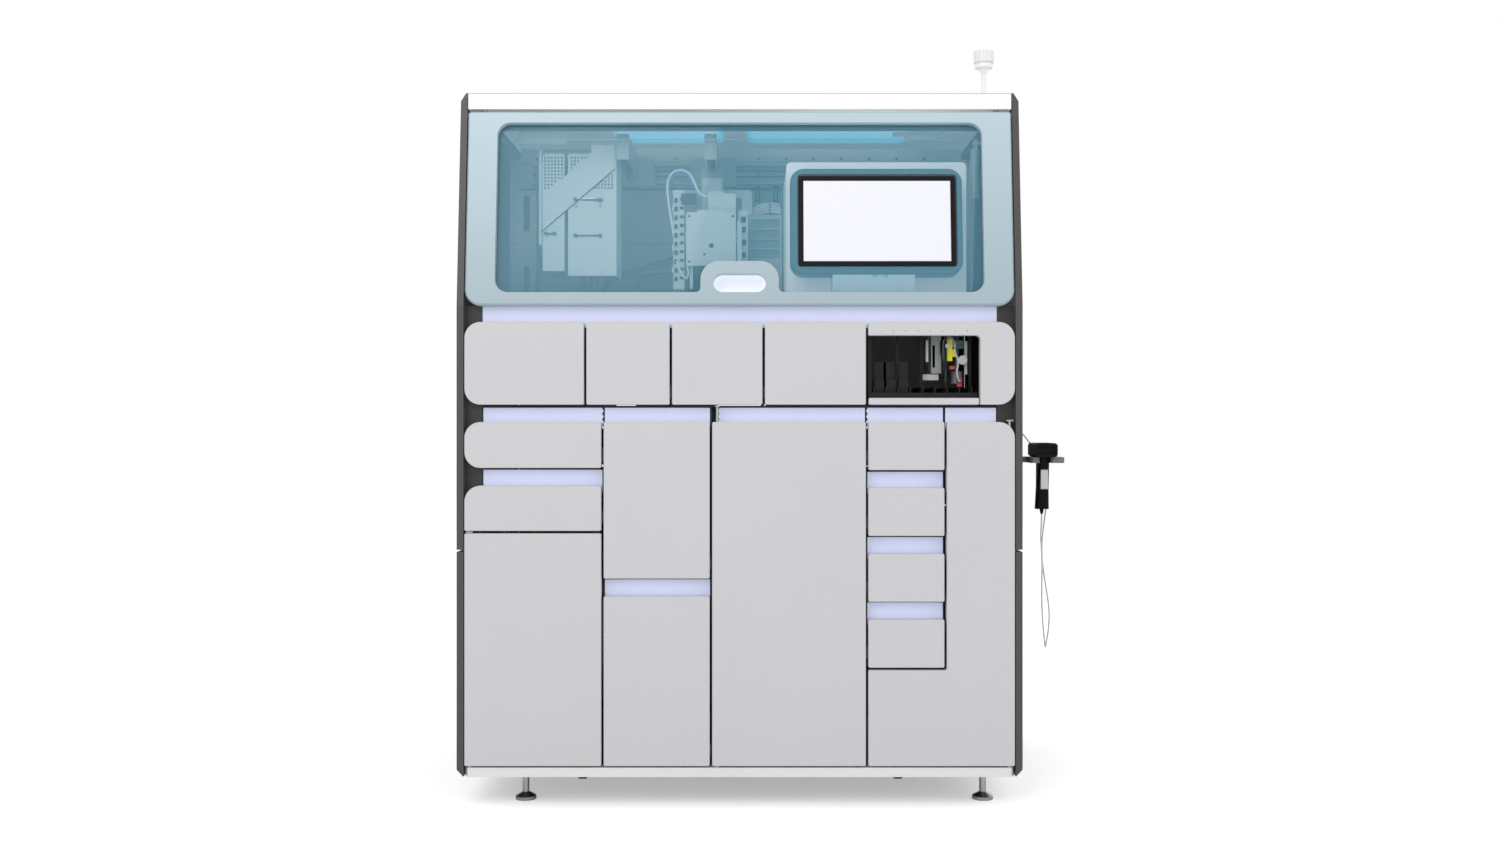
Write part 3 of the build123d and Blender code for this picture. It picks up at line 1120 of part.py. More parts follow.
NODES = {
    "base_frame": base_frame, "levelling_feet": levelling_feet, "castor_forks": castor_forks,
    "front_castor_wheels": lambda: castor_wheels(-CASTOR_Y), "rear_castor_wheels": lambda: castor_wheels(CASTOR_Y),
    "base_plinth": base_plinth, "cabinet_frame": cabinet_frame, "instrument_deck": instrument_deck,
    "grip_rail": grip_rail, "left_side_panels": lambda: side_panels(-1), "right_side_panels": lambda: side_panels(1),
    "tinted_windows": tinted_windows, "top_cover": top_cover, "rear_panels": rear_panels,
    "chamber_liner": chamber_liner, "beacon": lambda: beacon_mast() + beacon_head(),
    "hood_mountings": lambda: hood_pins() + strut_stud(), "hood_frame": hood_pieces,
    "hood_window": hood_window, "strut_cylinder": strut_cylinder, "strut_rod": strut_rod,
    "screen_housing": screen_housing, "touch_screen": touch_screen, "screen_pedestal": screen_pedestal,
    "module_cover": module_cover, "gantry_rail": gantry_rail,
    "pipetting_arm": lambda: [gantry_arm(ARM_X)], "pipetting_head": pipetting_head,
    "pipette_nozzles": pipette_nozzles,
    "gripper_arm": lambda: [gantry_arm(GRIP_X) + gripper_holder()], "gripper_head": gripper_head,
    "thermal_module": thermal_module, "fixed_fronts": lambda: fixed_fronts() + rack_bay_lip(),
    "rack_tray": rack_tray, "sample_module": sample_module, "drawer_runners": drawer_runners,
    "left_door": left_door, "middle_door": middle_door, "right_door": right_door, "door_hinges": door_hinges,
    "reagent_bottles": reagent_bottles, "power_module": power_module, "scanner_bracket": scanner_bracket,
    "handheld_scanner": handheld_scanner, "scanner_trigger": scanner_trigger, "scanner_cord": scanner_cord,
}


def build_all():
    """Every node's solids, in the export frame."""
    nodes = {name: make() for name, make in NODES.items()}
    for name, values in DRAWERS.items():
        nodes[name] = drawer(*values)
    for lane in range(3):
        nodes[f"sample_rack_{lane + 1}"] = sample_rack(lane)
    shift = Pos(X_SHIFT, 0, 0)
    return {name: Compound(children=[shift * s for shape in shapes for s in shape.solids()])
            for name, shapes in nodes.items()}


os.makedirs("parts", exist_ok=True)
for node_name, node_shape in build_all().items():
    export_step(node_shape, f"parts/{node_name}.step")
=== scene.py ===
import bmesh
import bpy
import math
from mathutils import Matrix, Vector


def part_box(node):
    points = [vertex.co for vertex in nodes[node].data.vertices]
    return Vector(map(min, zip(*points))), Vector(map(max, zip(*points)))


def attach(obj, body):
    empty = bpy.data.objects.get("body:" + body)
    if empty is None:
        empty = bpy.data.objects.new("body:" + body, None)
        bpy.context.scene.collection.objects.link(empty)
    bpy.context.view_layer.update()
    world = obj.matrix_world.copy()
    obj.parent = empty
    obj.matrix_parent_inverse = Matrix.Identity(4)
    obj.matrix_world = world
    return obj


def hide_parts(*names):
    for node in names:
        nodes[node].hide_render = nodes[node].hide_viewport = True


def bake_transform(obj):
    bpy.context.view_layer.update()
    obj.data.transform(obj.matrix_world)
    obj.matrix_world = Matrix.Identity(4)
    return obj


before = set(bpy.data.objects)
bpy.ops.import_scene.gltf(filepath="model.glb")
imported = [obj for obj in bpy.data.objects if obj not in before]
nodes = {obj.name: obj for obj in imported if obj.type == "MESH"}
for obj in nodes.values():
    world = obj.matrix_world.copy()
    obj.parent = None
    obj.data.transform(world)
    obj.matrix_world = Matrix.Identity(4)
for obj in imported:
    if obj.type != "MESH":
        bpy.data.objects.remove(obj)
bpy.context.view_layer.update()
MM = 0.001
SHIFT = -56.5

# Studio: a white room with a large soft lamp to the left and one to the right, and the camera
# where the photograph was taken from, 3.3 m in front of the fronts and a little right of the middle.
CAMERA_AT = (24.6 + SHIFT, -3685.0, 915.0)
LENS = 33.36
AMBIENT = 0.80


def linear(code):
    """An sRGB hex colour as linear red, green, blue and alpha."""
    values = [int(code[i:i + 2], 16) / 255 for i in (1, 3, 5)]
    return [v / 12.92 if v <= 0.04045 else ((v + 0.055) / 1.055) ** 2.4 for v in values] + [1.0]


def add(tree, kind, inputs=None, **settings):
    """Add a node, set its properties, then set or link its inputs."""
    made = tree.nodes.new(kind)
    for key, value in settings.items():
        setattr(made, key, value)
    for key, value in (inputs or {}).items():
        if isinstance(value, bpy.types.NodeSocket):
            tree.links.new(value, made.inputs[key])
        else:
            made.inputs[key].default_value = value
    return made


scene = bpy.context.scene
scene.view_settings.view_transform = "Standard"
camera = bpy.data.objects.new("camera", bpy.data.cameras.new("camera"))
scene.collection.objects.link(camera)
camera.location = Vector(CAMERA_AT) * MM
camera.rotation_euler = (math.radians(90), 0, 0)
camera.data.lens = LENS
camera.data.sensor_width = 36
camera.data.clip_end = 60
scene.camera = camera

world = bpy.data.worlds.new("studio")
scene.world = world
world.use_nodes = True
sky = world.node_tree
sky.nodes.clear()
rays = add(sky, "ShaderNodeLightPath")
seen = add(sky, "ShaderNodeMath", {0: rays.outputs["Is Camera Ray"], 1: rays.outputs["Is Glossy Ray"]},
           operation="MAXIMUM")
seen = add(sky, "ShaderNodeMath", {0: seen.outputs[0], 1: rays.outputs["Is Transmission Ray"]},
           operation="MAXIMUM")
level = add(sky, "ShaderNodeMapRange", {"Value": seen.outputs[0], "To Min": AMBIENT, "To Max": 1.0})
backing = add(sky, "ShaderNodeBackground", {"Color": linear("#ffffff"), "Strength": level.outputs[0]})
add(sky, "ShaderNodeOutputWorld", {"Surface": backing.outputs[0]})


def lamp(name, place, aim, size, power):
    """A large square area lamp that is aimed at a point. Places are in metres, power in watts."""
    light = bpy.data.lights.new(name, "AREA")
    light.size = size
    light.energy = power
    made = bpy.data.objects.new(name, light)
    scene.collection.objects.link(made)
    made.location = place
    made.rotation_euler = (Vector(aim) - Vector(place)).to_track_quat("-Z", "Y").to_euler()


lamp("key_lamp", (-1.6, -4.2, 3.6), (0, -0.3, 1.0), 3.0, 62)
lamp("side_lamp", (4.5, -2.4, 2.6), (0.4, 0, 1.0), 2.5, 30)

# The floor is matt paper. A little light of its own, seen by the camera alone, keeps it white up
# to the horizon and leaves the object's shadow on it.
FLOOR_HALF = 8
PAPER_GLOW = 0.40
floor_mesh = bpy.data.meshes.new("studio_floor")
floor_mesh.from_pydata([(-FLOOR_HALF, -FLOOR_HALF, 0), (FLOOR_HALF, -FLOOR_HALF, 0),
                        (FLOOR_HALF, FLOOR_HALF, 0), (-FLOOR_HALF, FLOOR_HALF, 0)], [], [(0, 1, 2, 3)])
studio_floor = bpy.data.objects.new("studio_floor", floor_mesh)
scene.collection.objects.link(studio_floor)
paper = bpy.data.materials.new("studio_paper")
paper.use_nodes = True
paper.node_tree.nodes.clear()
rays = add(paper.node_tree, "ShaderNodeLightPath")
matte = add(paper.node_tree, "ShaderNodeBsdfDiffuse", {"Color": linear("#f4f4f4")})
lit = add(paper.node_tree, "ShaderNodeEmission", {"Color": linear("#ffffff"), "Strength": PAPER_GLOW})
unlit = add(paper.node_tree, "ShaderNodeEmission", {"Strength": 0.0})
lit_seen = add(paper.node_tree, "ShaderNodeMixShader", {0: rays.outputs["Is Camera Ray"], 1: unlit.outputs[0],
                                                        2: lit.outputs[0]})
both = add(paper.node_tree, "ShaderNodeAddShader", {0: matte.outputs[0], 1: lit_seen.outputs[0]})
add(paper.node_tree, "ShaderNodeOutputMaterial", {"Surface": both.outputs[0]})
floor_mesh.materials.append(paper)


# Moulded and coated surfaces share how they were made: a base colour with a faint unevenness, a
# fine grain in the surface and a slightly uneven sheen. Sizes of grain are in millimetres.
def surface(name, code, rough, grain_mm=0.8, depth_mm=0.02, shade=0.03, metal=0.0, top_code=None,
            heights=(0, 1), glow=0.0, shine=0.5):
    """A solid material. With top_code the colour shifts between two heights in metres."""
    made = bpy.data.materials.new(name)
    made.use_nodes = True
    tree = made.node_tree
    tree.nodes.clear()
    where = add(tree, "ShaderNodeTexCoord")
    broad = add(tree, "ShaderNodeTexNoise", {"Vector": where.outputs["Object"], "Scale": 6.0, "Detail": 3.0})
    fine = add(tree, "ShaderNodeTexNoise", {"Vector": where.outputs["Object"], "Scale": 1000 / grain_mm,
                                            "Detail": 2.0})
    tone = add(tree, "ShaderNodeMapRange", {"Value": broad.outputs["Fac"], "From Min": 0.3, "From Max": 0.7,
                                            "To Min": 1.0 - shade, "To Max": 1.0})
    place = add(tree, "ShaderNodeSeparateXYZ", {"Vector": where.outputs["Object"]})
    rise = add(tree, "ShaderNodeMapRange", {"Value": place.outputs["Z"], "From Min": heights[0],
                                            "From Max": heights[1]})
    colour = add(tree, "ShaderNodeMix", {0: rise.outputs[0], 6: linear(code), 7: linear(top_code or code)},
                 data_type="RGBA")
    tinted = add(tree, "ShaderNodeVectorMath", {0: colour.outputs[2], "Scale": tone.outputs[0]},
                 operation="SCALE")
    gloss = add(tree, "ShaderNodeMapRange", {"Value": fine.outputs["Fac"], "To Min": rough - 0.05,
                                             "To Max": rough + 0.05})
    bump = add(tree, "ShaderNodeBump", {"Height": fine.outputs["Fac"], "Strength": 0.35,
                                        "Distance": depth_mm * MM})
    body = add(tree, "ShaderNodeBsdfPrincipled", {
        "Base Color": tinted.outputs[0], "Roughness": gloss.outputs[0], "Normal": bump.outputs[0],
        "Metallic": metal, "Specular IOR Level": shine,
        "Emission Color": colour.outputs[2], "Emission Strength": glow})
    add(tree, "ShaderNodeOutputMaterial", {"Surface": body.outputs[0]})
    return made


def dress(node, *materials, choose=None):
    """Give a CAD node its materials; choose(centre, normal) picks one for each face."""
    mesh = nodes[node].data
    mesh.materials.clear()
    for material in materials:
        mesh.materials.append(material)
    for face in mesh.polygons:
        face.material_index = choose(face.center, face.normal) if choose else 0


# Base: a welded tube frame in dark powder coat behind a white moulded skirt, on turned steel
# levelling feet, with four small transport castors that are lifted clear of the floor.
coated_frame = surface("powder_coat_dark", "#3a3b3d", 0.6, 1.2, 0.05)
skirt_abs = surface("skirt_white_abs", "#e3e2e4", 0.42)
turned_steel = surface("turned_steel", "#b4b5b8", 0.32, 0.5, 0.01, metal=1.0)
zinc_plate = surface("zinc_plated_steel", "#9c9ea2", 0.42, 1.5, 0.01, shade=0.12, metal=1.0)
wheel_rubber = surface("castor_rubber", "#2b2b2c", 0.75, 1.0, 0.05)
dress("base_frame", coated_frame)
dress("base_plinth", skirt_abs)
dress("levelling_feet", turned_steel)
dress("castor_forks", zinc_plate)
dress("front_castor_wheels", wheel_rubber)
dress("rear_castor_wheels", wheel_rubber)

# Cabinet shell: powder-coated sheet side panels whose front edge is painted in its own grey, with painted
# shade on the inner return beside the fronts, a white roof cover of painted sheet, and rear covers with
# cooling slots.
side_coat = surface("side_panel_powder_coat", "#4b4b49", 0.5, 1.0, 0.03)
edge_coat = surface("side_edge_paint", "#474644", 0.42, 1.0, 0.02)
# Painted shade: the inner return is painted darker, for the shadow in the gap beside the fronts.
painted_return_shade = surface("side_inner_return_painted_shade", "#343432", 0.55, 1.0, 0.02)
roof_paint = surface("roof_white_paint", "#fbfbfc", 0.38, 0.9, 0.01, shade=0.01)
rear_coat = surface("rear_cover_powder_coat", "#8f9193", 0.5, 1.2, 0.04)
SIDE_INNER = 654.0 * MM


def side_face(centre, normal):
    """Edge paint on what faces the front, painted shade on the return inside the panel, coat elsewhere."""
    across = abs(centre.x - SHIFT * MM)
    if across < SIDE_INNER - 0.0005:
        return 2
    return 1 if normal.y < -0.5 else 0


for side in ("left_side_panels", "right_side_panels"):
    dress(side, side_coat, edge_coat, painted_return_shade, choose=side_face)
# Painted shade: the roof cover's sloping edges are painted darker than its white.
roof_edge = surface("roof_edge_painted_shade", "#c4c3c5", 0.45, 0.9, 0.01)
# Painted light: the cover's underside towards the chamber glows, pale, to lighten it.
roof_lining = surface("roof_underside_painted_light", "#eef4f7", 0.6, 0.9, 0.01, glow=0.2)


def cover_face(centre, normal):
    """White outside, painted shade on the sloping edges, and painted light, a pale glow, on the underside
    towards the chamber.
    """
    if normal.z < -0.9:
        return 2
    return 1 if 0.2 < normal.z < 0.95 else 0


dress("top_cover", roof_paint, roof_edge, roof_lining, choose=cover_face)
dress("rear_panels", rear_coat)
dress("cabinet_frame", coated_frame)

# Fronts: thick mouldings painted light grey in satin, each with a lavender grip channel above it
# that belongs to the drawer or door below. The trays are bent white-coated sheet.
front_paint = surface("front_satin_paint", "#cacacd", 0.45, 0.7, 0.01, shade=0.012)
# Painted light: the lavender paint glows a little, brighter than the lamps alone make it.
lavender_paint = surface("grip_lavender_with_painted_glow", "#d6dbf6", 0.5, 0.8, 0.01, shade=0.01, glow=0.16)
tray_coat = surface("tray_powder_coat", "#d9dadb", 0.55, 1.2, 0.03)
PANEL_BACK = -373.0 * MM
PANEL_THICK_ENOUGH = 10.0 * MM
STRIP_LAP = 18.0 * MM


def front_top(node):
    """The height of a front's outer face, below its grip channel."""
    mesh = nodes[node].data
    return max(v.co.z for v in mesh.vertices if v.co.y < PANEL_BACK - PANEL_THICK_ENOUGH)


def dress_front(node):
    """Satin paint on the front, lavender with painted light in the grip channel above it, tray coat behind.
    """
    top = front_top(node)

    def choose(centre, normal):
        if centre.y < PANEL_BACK + 0.0001:
            return 0
        return 1 if centre.z > top - STRIP_LAP else 2

    dress(node, front_paint, lavender_paint, tray_coat, choose=choose)


DRAWERS = ["upper_left_drawer", "lower_left_drawer", "consumables_drawer", "waste_drawer", "plate_drawer",
           "tip_drawer", "cartridge_drawer"] + [f"reagent_drawer_{n}" for n in range(1, 5)]
for front in DRAWERS + ["left_door", "middle_door", "right_door"]:
    dress_front(front)
dress("fixed_fronts", front_paint)
dress("grip_rail", lavender_paint)
dress("drawer_runners", zinc_plate)
dress("door_hinges", turned_steel)

# Hood: a painted moulded frame, pale blue-grey, with painted shade that darkens it towards its lower edge,
# round a pane of turquoise acrylic. The pocket behind the handle slot is white, with painted light that
# glows in it. The hood leans back about its lower edge, in the cabinet's front plane.
# Painted shade: the frame's paint is darker towards its lower edge and lighter at its top.
hood_paint = surface("hood_blue_grey_with_painted_shade", "#a3b5bd", 0.4, 0.8, 0.01, shade=0.02, top_code="#b9cdd6",
                     heights=(1.20, 1.66))
# Painted light: the white pocket glows, so that it reads bright in its shade behind the slot.
painted_light_pocket = surface("handle_pocket_abs_with_painted_light", "#f2f5fc", 0.5, glow=0.2)
HOOD_TILT = math.radians(5.9)
HOOD_LOW = 1192.0
FRONT_Y = -395.0
POCKET_BEHIND = 21.9
POCKET_HALF = 70.0
POCKET_Z = (1214.0, 1276.0)


def hood_face(centre, normal):
    """Paint with painted shade on the frame, white moulding with painted light on the pocket, which lies
    behind the frame's back.
    """
    x, y, z = centre.x / MM - SHIFT, centre.y / MM, centre.z / MM
    behind = (y - FRONT_Y - (z - HOOD_LOW) * math.tan(HOOD_TILT)) * math.cos(HOOD_TILT)
    return 1 if behind > POCKET_BEHIND and abs(x) < POCKET_HALF and POCKET_Z[0] < z < POCKET_Z[1] else 0


dress("hood_frame", hood_paint, painted_light_pocket, choose=hood_face)


def acrylic(name, code, alpha, glow=0.0):
    """Tinted cast acrylic: a coloured veil with a hard clear gloss."""
    made = bpy.data.materials.new(name)
    made.use_nodes = True
    tree = made.node_tree
    tree.nodes.clear()
    where = add(tree, "ShaderNodeTexCoord")
    wave = add(tree, "ShaderNodeTexNoise", {"Vector": where.outputs["Object"], "Scale": 2.0})
    bump = add(tree, "ShaderNodeBump", {"Height": wave.outputs["Fac"], "Strength": 0.05, "Distance": 0.001})
    body = add(tree, "ShaderNodeBsdfPrincipled", {"Base Color": linear(code), "Roughness": 0.04, "IOR": 1.49,
                                                  "Alpha": alpha, "Normal": bump.outputs[0],
                                                  "Emission Color": linear(code), "Emission Strength": glow})
    add(tree, "ShaderNodeOutputMaterial", {"Surface": body.outputs[0]})
    return made


hood_acrylic = acrylic("hood_turquoise_acrylic", "#5c9cb3", 0.33)
dress("hood_window", hood_acrylic)

# Roof and side windows: brighter turquoise acrylic. Seen from inside, daylight fills them. No pane
# holds back the room's light, so that the chamber is lit as it is behind clear acrylic.
roof_acrylic = acrylic("roof_turquoise_acrylic", "#4fd0f2", 0.5)
roof_lit = acrylic("roof_acrylic_in_daylight", "#6fcdf0", 0.7, glow=0.9)
side_acrylic = acrylic("side_turquoise_acrylic", "#4ba3bd", 0.55)
side_lit = acrylic("side_acrylic_in_daylight", "#5cb2cc", 0.6, glow=0.25)
SIDE_WINDOW_TOP = 1600.0 * MM


def window_face(centre, normal):
    """Daylight fills the faces of the roof and side windows that look into the chamber."""
    if centre.z > SIDE_WINDOW_TOP:
        return 1 if normal.z < -0.9 else 0
    return 3 if normal.x * (centre.x - SHIFT * MM) < 0 and abs(normal.x) > 0.9 else 2


dress("tinted_windows", roof_acrylic, roof_lit, side_acrylic, side_lit, choose=window_face)
for pane in ("hood_window", "tinted_windows"):
    nodes[pane].visible_shadow = False
    nodes[pane].visible_diffuse = False

# Work chamber: coated sheet walls that darken towards the deck, where less light falls, white
# covers on the two heads, and anodised gantry parts.
# Painted light: the white parts in the chamber are painted blue-grey and a little darker, for the light that
# reaches them through the tinted panes.
chamber_coat = surface("chamber_white_painted_tint", "#cbd7d9", 0.5, 1.0, 0.02)
grey_anodised = surface("grey_anodised_aluminium", "#a9adb0", 0.4, 0.6, 0.01, metal=0.6)
dress("instrument_deck", surface("deck_dark_coat", "#4c565b", 0.5, 1.0, 0.02))
wall_coat = surface("chamber_wall_coat", "#566060", 0.5, 1.0, 0.02, top_code="#bec1c2", heights=(1.28, 1.56))
dress("chamber_liner", wall_coat)
for node in ("pipetting_head", "gripper_head"):
    dress(node, chamber_coat)
for node in ("gantry_rail", "pipetting_arm", "gripper_arm", "pipette_nozzles", "thermal_module",
             "strut_cylinder"):
    dress(node, grey_anodised)
dress("strut_rod", turned_steel)
dress("hood_mountings", zinc_plate)


def spline_points(name, route):
    """The smooth line through the air that a cord or hose with these control points takes."""
    curve = bpy.data.curves.new(name, "CURVE")
    curve.dimensions = "3D"
    curve.resolution_u = 8
    line = curve.splines.new("NURBS")
    line.points.add(len(route) - 1)
    for point, place in zip(line.points, route):
        point.co = ((place[0] + SHIFT) * MM, place[1] * MM, place[2] * MM, 1)
    line.order_u = 3
    line.use_endpoint_u = True
    holder = bpy.data.objects.new(name, curve)
    scene.collection.objects.link(holder)
    mesh = bpy.data.meshes.new_from_object(holder)
    points = [v.co.copy() for v in mesh.vertices]
    bpy.data.objects.remove(holder)
    return points


def tube(name, points, radius, sides=10):
    """A closed round tube of even thickness along a line of points."""
    mesh = bmesh.new()
    rings = []
    across = (points[1] - points[0]).orthogonal().normalized()
    for i, point in enumerate(points):
        along = (points[min(i + 1, len(points) - 1)] - points[max(i - 1, 0)]).normalized()
        across = (across - along * across.dot(along)).normalized()
        side = along.cross(across)
        ring = []
        for k in range(sides):
            turn = 2 * math.pi * k / sides
            ring.append(mesh.verts.new(point + radius * (across * math.cos(turn) + side * math.sin(turn))))
        rings.append(ring)
    for first, second in zip(rings, rings[1:]):
        for k in range(sides):
            mesh.faces.new((first[k], first[(k + 1) % sides], second[(k + 1) % sides], second[k]))
    mesh.faces.new(reversed(rings[0]))
    mesh.faces.new(rings[-1])
    return made_object(name, mesh)


def made_object(name, mesh, smooth=True):
    """An object from a mesh in the making, with its faces turned outward."""
    data = bpy.data.meshes.new(name)
    bmesh.ops.recalc_face_normals(mesh, faces=mesh.faces[:])
    mesh.to_mesh(data)
    mesh.free()
    for face in data.polygons:
        face.use_smooth = smooth
    made = bpy.data.objects.new(name, data)
    scene.collection.objects.link(made)
    return made



# Small parts of the scene are built in one mesh each, in the cabinet's own millimetres.
def block(mesh, x0, x1, y0, y1, z0, z1):
    """Add a box between two corners."""
    made = bmesh.ops.create_cube(mesh, size=1)["verts"]
    size = Vector((abs(x1 - x0), abs(y1 - y0), abs(z1 - z0))) * MM
    middle = Vector(((x0 + x1) / 2 + SHIFT, (y0 + y1) / 2, (z0 + z1) / 2)) * MM
    bmesh.ops.scale(mesh, vec=size, verts=made)
    bmesh.ops.translate(mesh, vec=middle, verts=made)


def stud(mesh, x, y, z, radius, length, sides=16, axis="Y"):
    """Add a round stud or screw head that is centred on a point."""
    turn = {"X": Matrix.Rotation(math.pi / 2, 3, "Y"), "Y": Matrix.Rotation(math.pi / 2, 3, "X"),
            "Z": Matrix.Identity(3)}[axis]
    made = bmesh.ops.create_cone(mesh, cap_ends=True, segments=sides, depth=length * MM,
                                 radius1=radius * MM, radius2=radius * MM)["verts"]
    bmesh.ops.rotate(mesh, matrix=turn, verts=made)
    bmesh.ops.translate(mesh, vec=Vector((x + SHIFT, y, z)) * MM, verts=made)


def sheet_form(mesh, points, y0, y1):
    """Add a flat sheet with an outline in X and Z."""
    front = [mesh.verts.new(Vector((x + SHIFT, y0, z)) * MM) for x, z in points]
    back = [mesh.verts.new(Vector((x + SHIFT, y1, z)) * MM) for x, z in points]
    mesh.faces.new(front)
    mesh.faces.new(list(reversed(back)))
    for i in range(len(points)):
        j = (i + 1) % len(points)
        mesh.faces.new((front[i], back[i], back[j], front[j]))


def piece(name, mesh, material, body, smooth=False):
    """Finish a scene piece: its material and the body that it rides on."""
    made = made_object(name, mesh, smooth)
    made.data.materials.append(material)
    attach(made, body)
    return made


def hose(name, route, radius, material, body, sides=8):
    """A fixed cable, pipe or cable carrier along a smooth line."""
    made = tube(name, spline_points(name, route), radius * MM, sides)
    made.data.materials.append(material)
    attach(made, body)
    return made


# The pane's notch is wider than the grip hump, so an acrylic corner piece closes it on each side.
# Its outline follows the hump's foot and shoulder, in the hood's own plane, which leans back.
HUMP_HALF, HUMP_FOOT, HUMP_SHOULDER = 93.2, 12.0, 44.2
NOTCH_HALF, NOTCH_TOP, NOTCH_R = 123.4, 1290.3, 30.0
SHOULDER_UP = 30.8
PANE_LOW = 1223.2
PANE_Y = (-377.0, -373.0)


def arc(x, z, radius, first, last, steps=8):
    """Points on an arc round a centre, between two angles in degrees."""
    turns = [math.radians(first + (last - first) * step / steps) for step in range(steps + 1)]
    return [(x + radius * math.cos(a), z + radius * math.sin(a)) for a in turns]


mesh = bmesh.new()
shoulder_z = PANE_LOW + SHOULDER_UP
meets = math.degrees(math.asin((NOTCH_TOP - shoulder_z) / HUMP_SHOULDER))
outline = ([(-NOTCH_HALF, PANE_LOW)] + arc(-HUMP_HALF - HUMP_FOOT, PANE_LOW + HUMP_FOOT, HUMP_FOOT, -90, 0)
           + arc(HUMP_SHOULDER - HUMP_HALF, shoulder_z, HUMP_SHOULDER, 180, 180 - meets)
           + arc(NOTCH_R - NOTCH_HALF, NOTCH_TOP - NOTCH_R, NOTCH_R, 90, 180))
sheet_form(mesh, outline, *PANE_Y)
sheet_form(mesh, [(-x, z) for x, z in reversed(outline)], *PANE_Y)
hinge = Vector((0, FRONT_Y, HOOD_LOW)) * MM
bmesh.ops.rotate(mesh, cent=hinge, matrix=Matrix.Rotation(-HOOD_TILT, 3, "X"), verts=mesh.verts)
corners = piece("hood_window_corners", mesh, hood_acrylic, "hood")
corners.visible_shadow = False
corners.visible_diffuse = False

# Pipetting head: sheet covers perforated for air in a square pattern, quarter-turn knobs in pairs
# on retaining bars, a slim guide rail at the left and printed handling marks.
# Painted shade: this near-black fills the perforations, slots and shadow lines, and it is also the dark
# colour of the small fittings and wall clips.
dark_parts_and_shade = surface("painted_shade_and_dark_fittings", "#0b1517", 0.8)
knob_steel = surface("knob_blued_steel", "#41585f", 0.4, metal=0.5)
carrier_black = surface("cable_carrier_plastic", "#0f2c33", 0.5, 2.0, 0.1)
mark_green = surface("mark_printed_green", "#7fb58c", 0.6)
label_white = surface("label_printed_white", "#f4f6f6", 0.5)
HEAD_FACE = -235.0
HEAD_LEFT = -490.0
HOLE_PITCH = 8.3
HOLE_SIZE = 4.3
HOLE_TOP = 1570.5
HOLE_ROWS = 10
HOLE_COLUMNS = 6
HOLE_FIRST = (-483.8, -418.1, -359.3)
HEAD_TOP = 1602
PLATE_LOW, PLATE_LOW_RISE = 1389, 155 / 179.5
PLATE_HIGH, PLATE_HIGH_RISE = 1475, 106 / 121
STEP_IN = 121
PLATE_MARGIN = 3


def under_plate(x, z):
    """True where the diagonal plate lies over this point of the covers. It rises to the right, and
    its upper edge steps up to the top of the covers at STEP_IN."""
    along = x - HEAD_LEFT
    low = PLATE_LOW + along * PLATE_LOW_RISE
    high = HEAD_TOP if along > STEP_IN else PLATE_HIGH + along * PLATE_HIGH_RISE
    return low - PLATE_MARGIN < z < high + PLATE_MARGIN


mesh = bmesh.new()
for first in HOLE_FIRST:
    for column in range(HOLE_COLUMNS):
        for row in range(HOLE_ROWS):
            x, z = first + column * HOLE_PITCH, HOLE_TOP - row * HOLE_PITCH
            if not under_plate(x, z):
                half = HOLE_SIZE / 2
                block(mesh, x - half, x + half, HEAD_FACE - 0.3, HEAD_FACE + 0.1, z - half, z + half)
piece("head_perforations", mesh, dark_parts_and_shade, "pipetting_arm")
mesh = bmesh.new()
for x0, x1, z in ((-481.3, -460.2, 1382.2), (-408.1, -347.4, 1377.5)):
    block(mesh, x0, x1, HEAD_FACE - 2, HEAD_FACE, z - 2, z + 2)
for x, z in ((-481.3, 1382.2), (-460.2, 1382.2), (-408.1, 1466.5), (-347.4, 1465.5), (-408.1, 1377.5),
             (-347.4, 1377.5)):
    stud(mesh, x, HEAD_FACE - 4, z, 4.8, 8)
block(mesh, -393, -340, HEAD_FACE - 2, HEAD_FACE, 1463, 1468)
for x, z in ((-430, 1548), (-400, 1534), (-378, 1572), (-428, 1500), (-337, 1585), (-325, 1585)):
    stud(mesh, x, HEAD_FACE - 3.2, z, 1.6, 1.2)
piece("head_knobs", mesh, knob_steel, "pipetting_arm")
mesh = bmesh.new()
block(mesh, -392, -363, HEAD_FACE - 1.5, HEAD_FACE, 1460.5, 1472)
piece("head_label", mesh, label_white, "pipetting_arm")
mesh = bmesh.new()
for x in (-406.0, -346.0):
    sheet_form(mesh, [(x - 6, 1447), (x + 6, 1447), (x, 1457)], HEAD_FACE - 0.5, HEAD_FACE)
piece("head_marks", mesh, mark_green, "pipetting_arm")
mesh = bmesh.new()
block(mesh, -499.5, -492.5, -232, -212, 1355, 1590)
block(mesh, -492.5, -490, -228, -216, 1480, 1560)
piece("head_guide", mesh, chamber_coat, "pipetting_arm")
mesh = bmesh.new()
# Painted shadow: a dark line along the diagonal plate's lower edge.
sheet_form(mesh, [(-492, 1386.5), (-310.5, 1541.5), (-310.5, 1544), (-492, 1389)], HEAD_FACE - 3.4,
           HEAD_FACE - 0.2)
piece("head_plate_shadow_line", mesh, dark_parts_and_shade, "pipetting_arm")
for number, x in enumerate((-393, -376, -359)):
    drop = [(x, -190, z) for z in (1292, 1262, 1232, 1206)]
    hose(f"head_pipe_{number}", drop, 4.2, carrier_black, "pipetting_arm")
for number, (x, reach) in enumerate(((-478, 14), (-462, 20), (-446, 12), (-350, 18), (-334, 12))):
    loop = [(x, -200, 1300), (x, -202, 1284), (x + reach, -205, 1272), (x + reach + 14, -200, 1282),
            (x + reach + 16, -195, 1300)]
    hose(f"head_hose_{number}", loop, 2.2, knob_steel, "pipetting_arm")

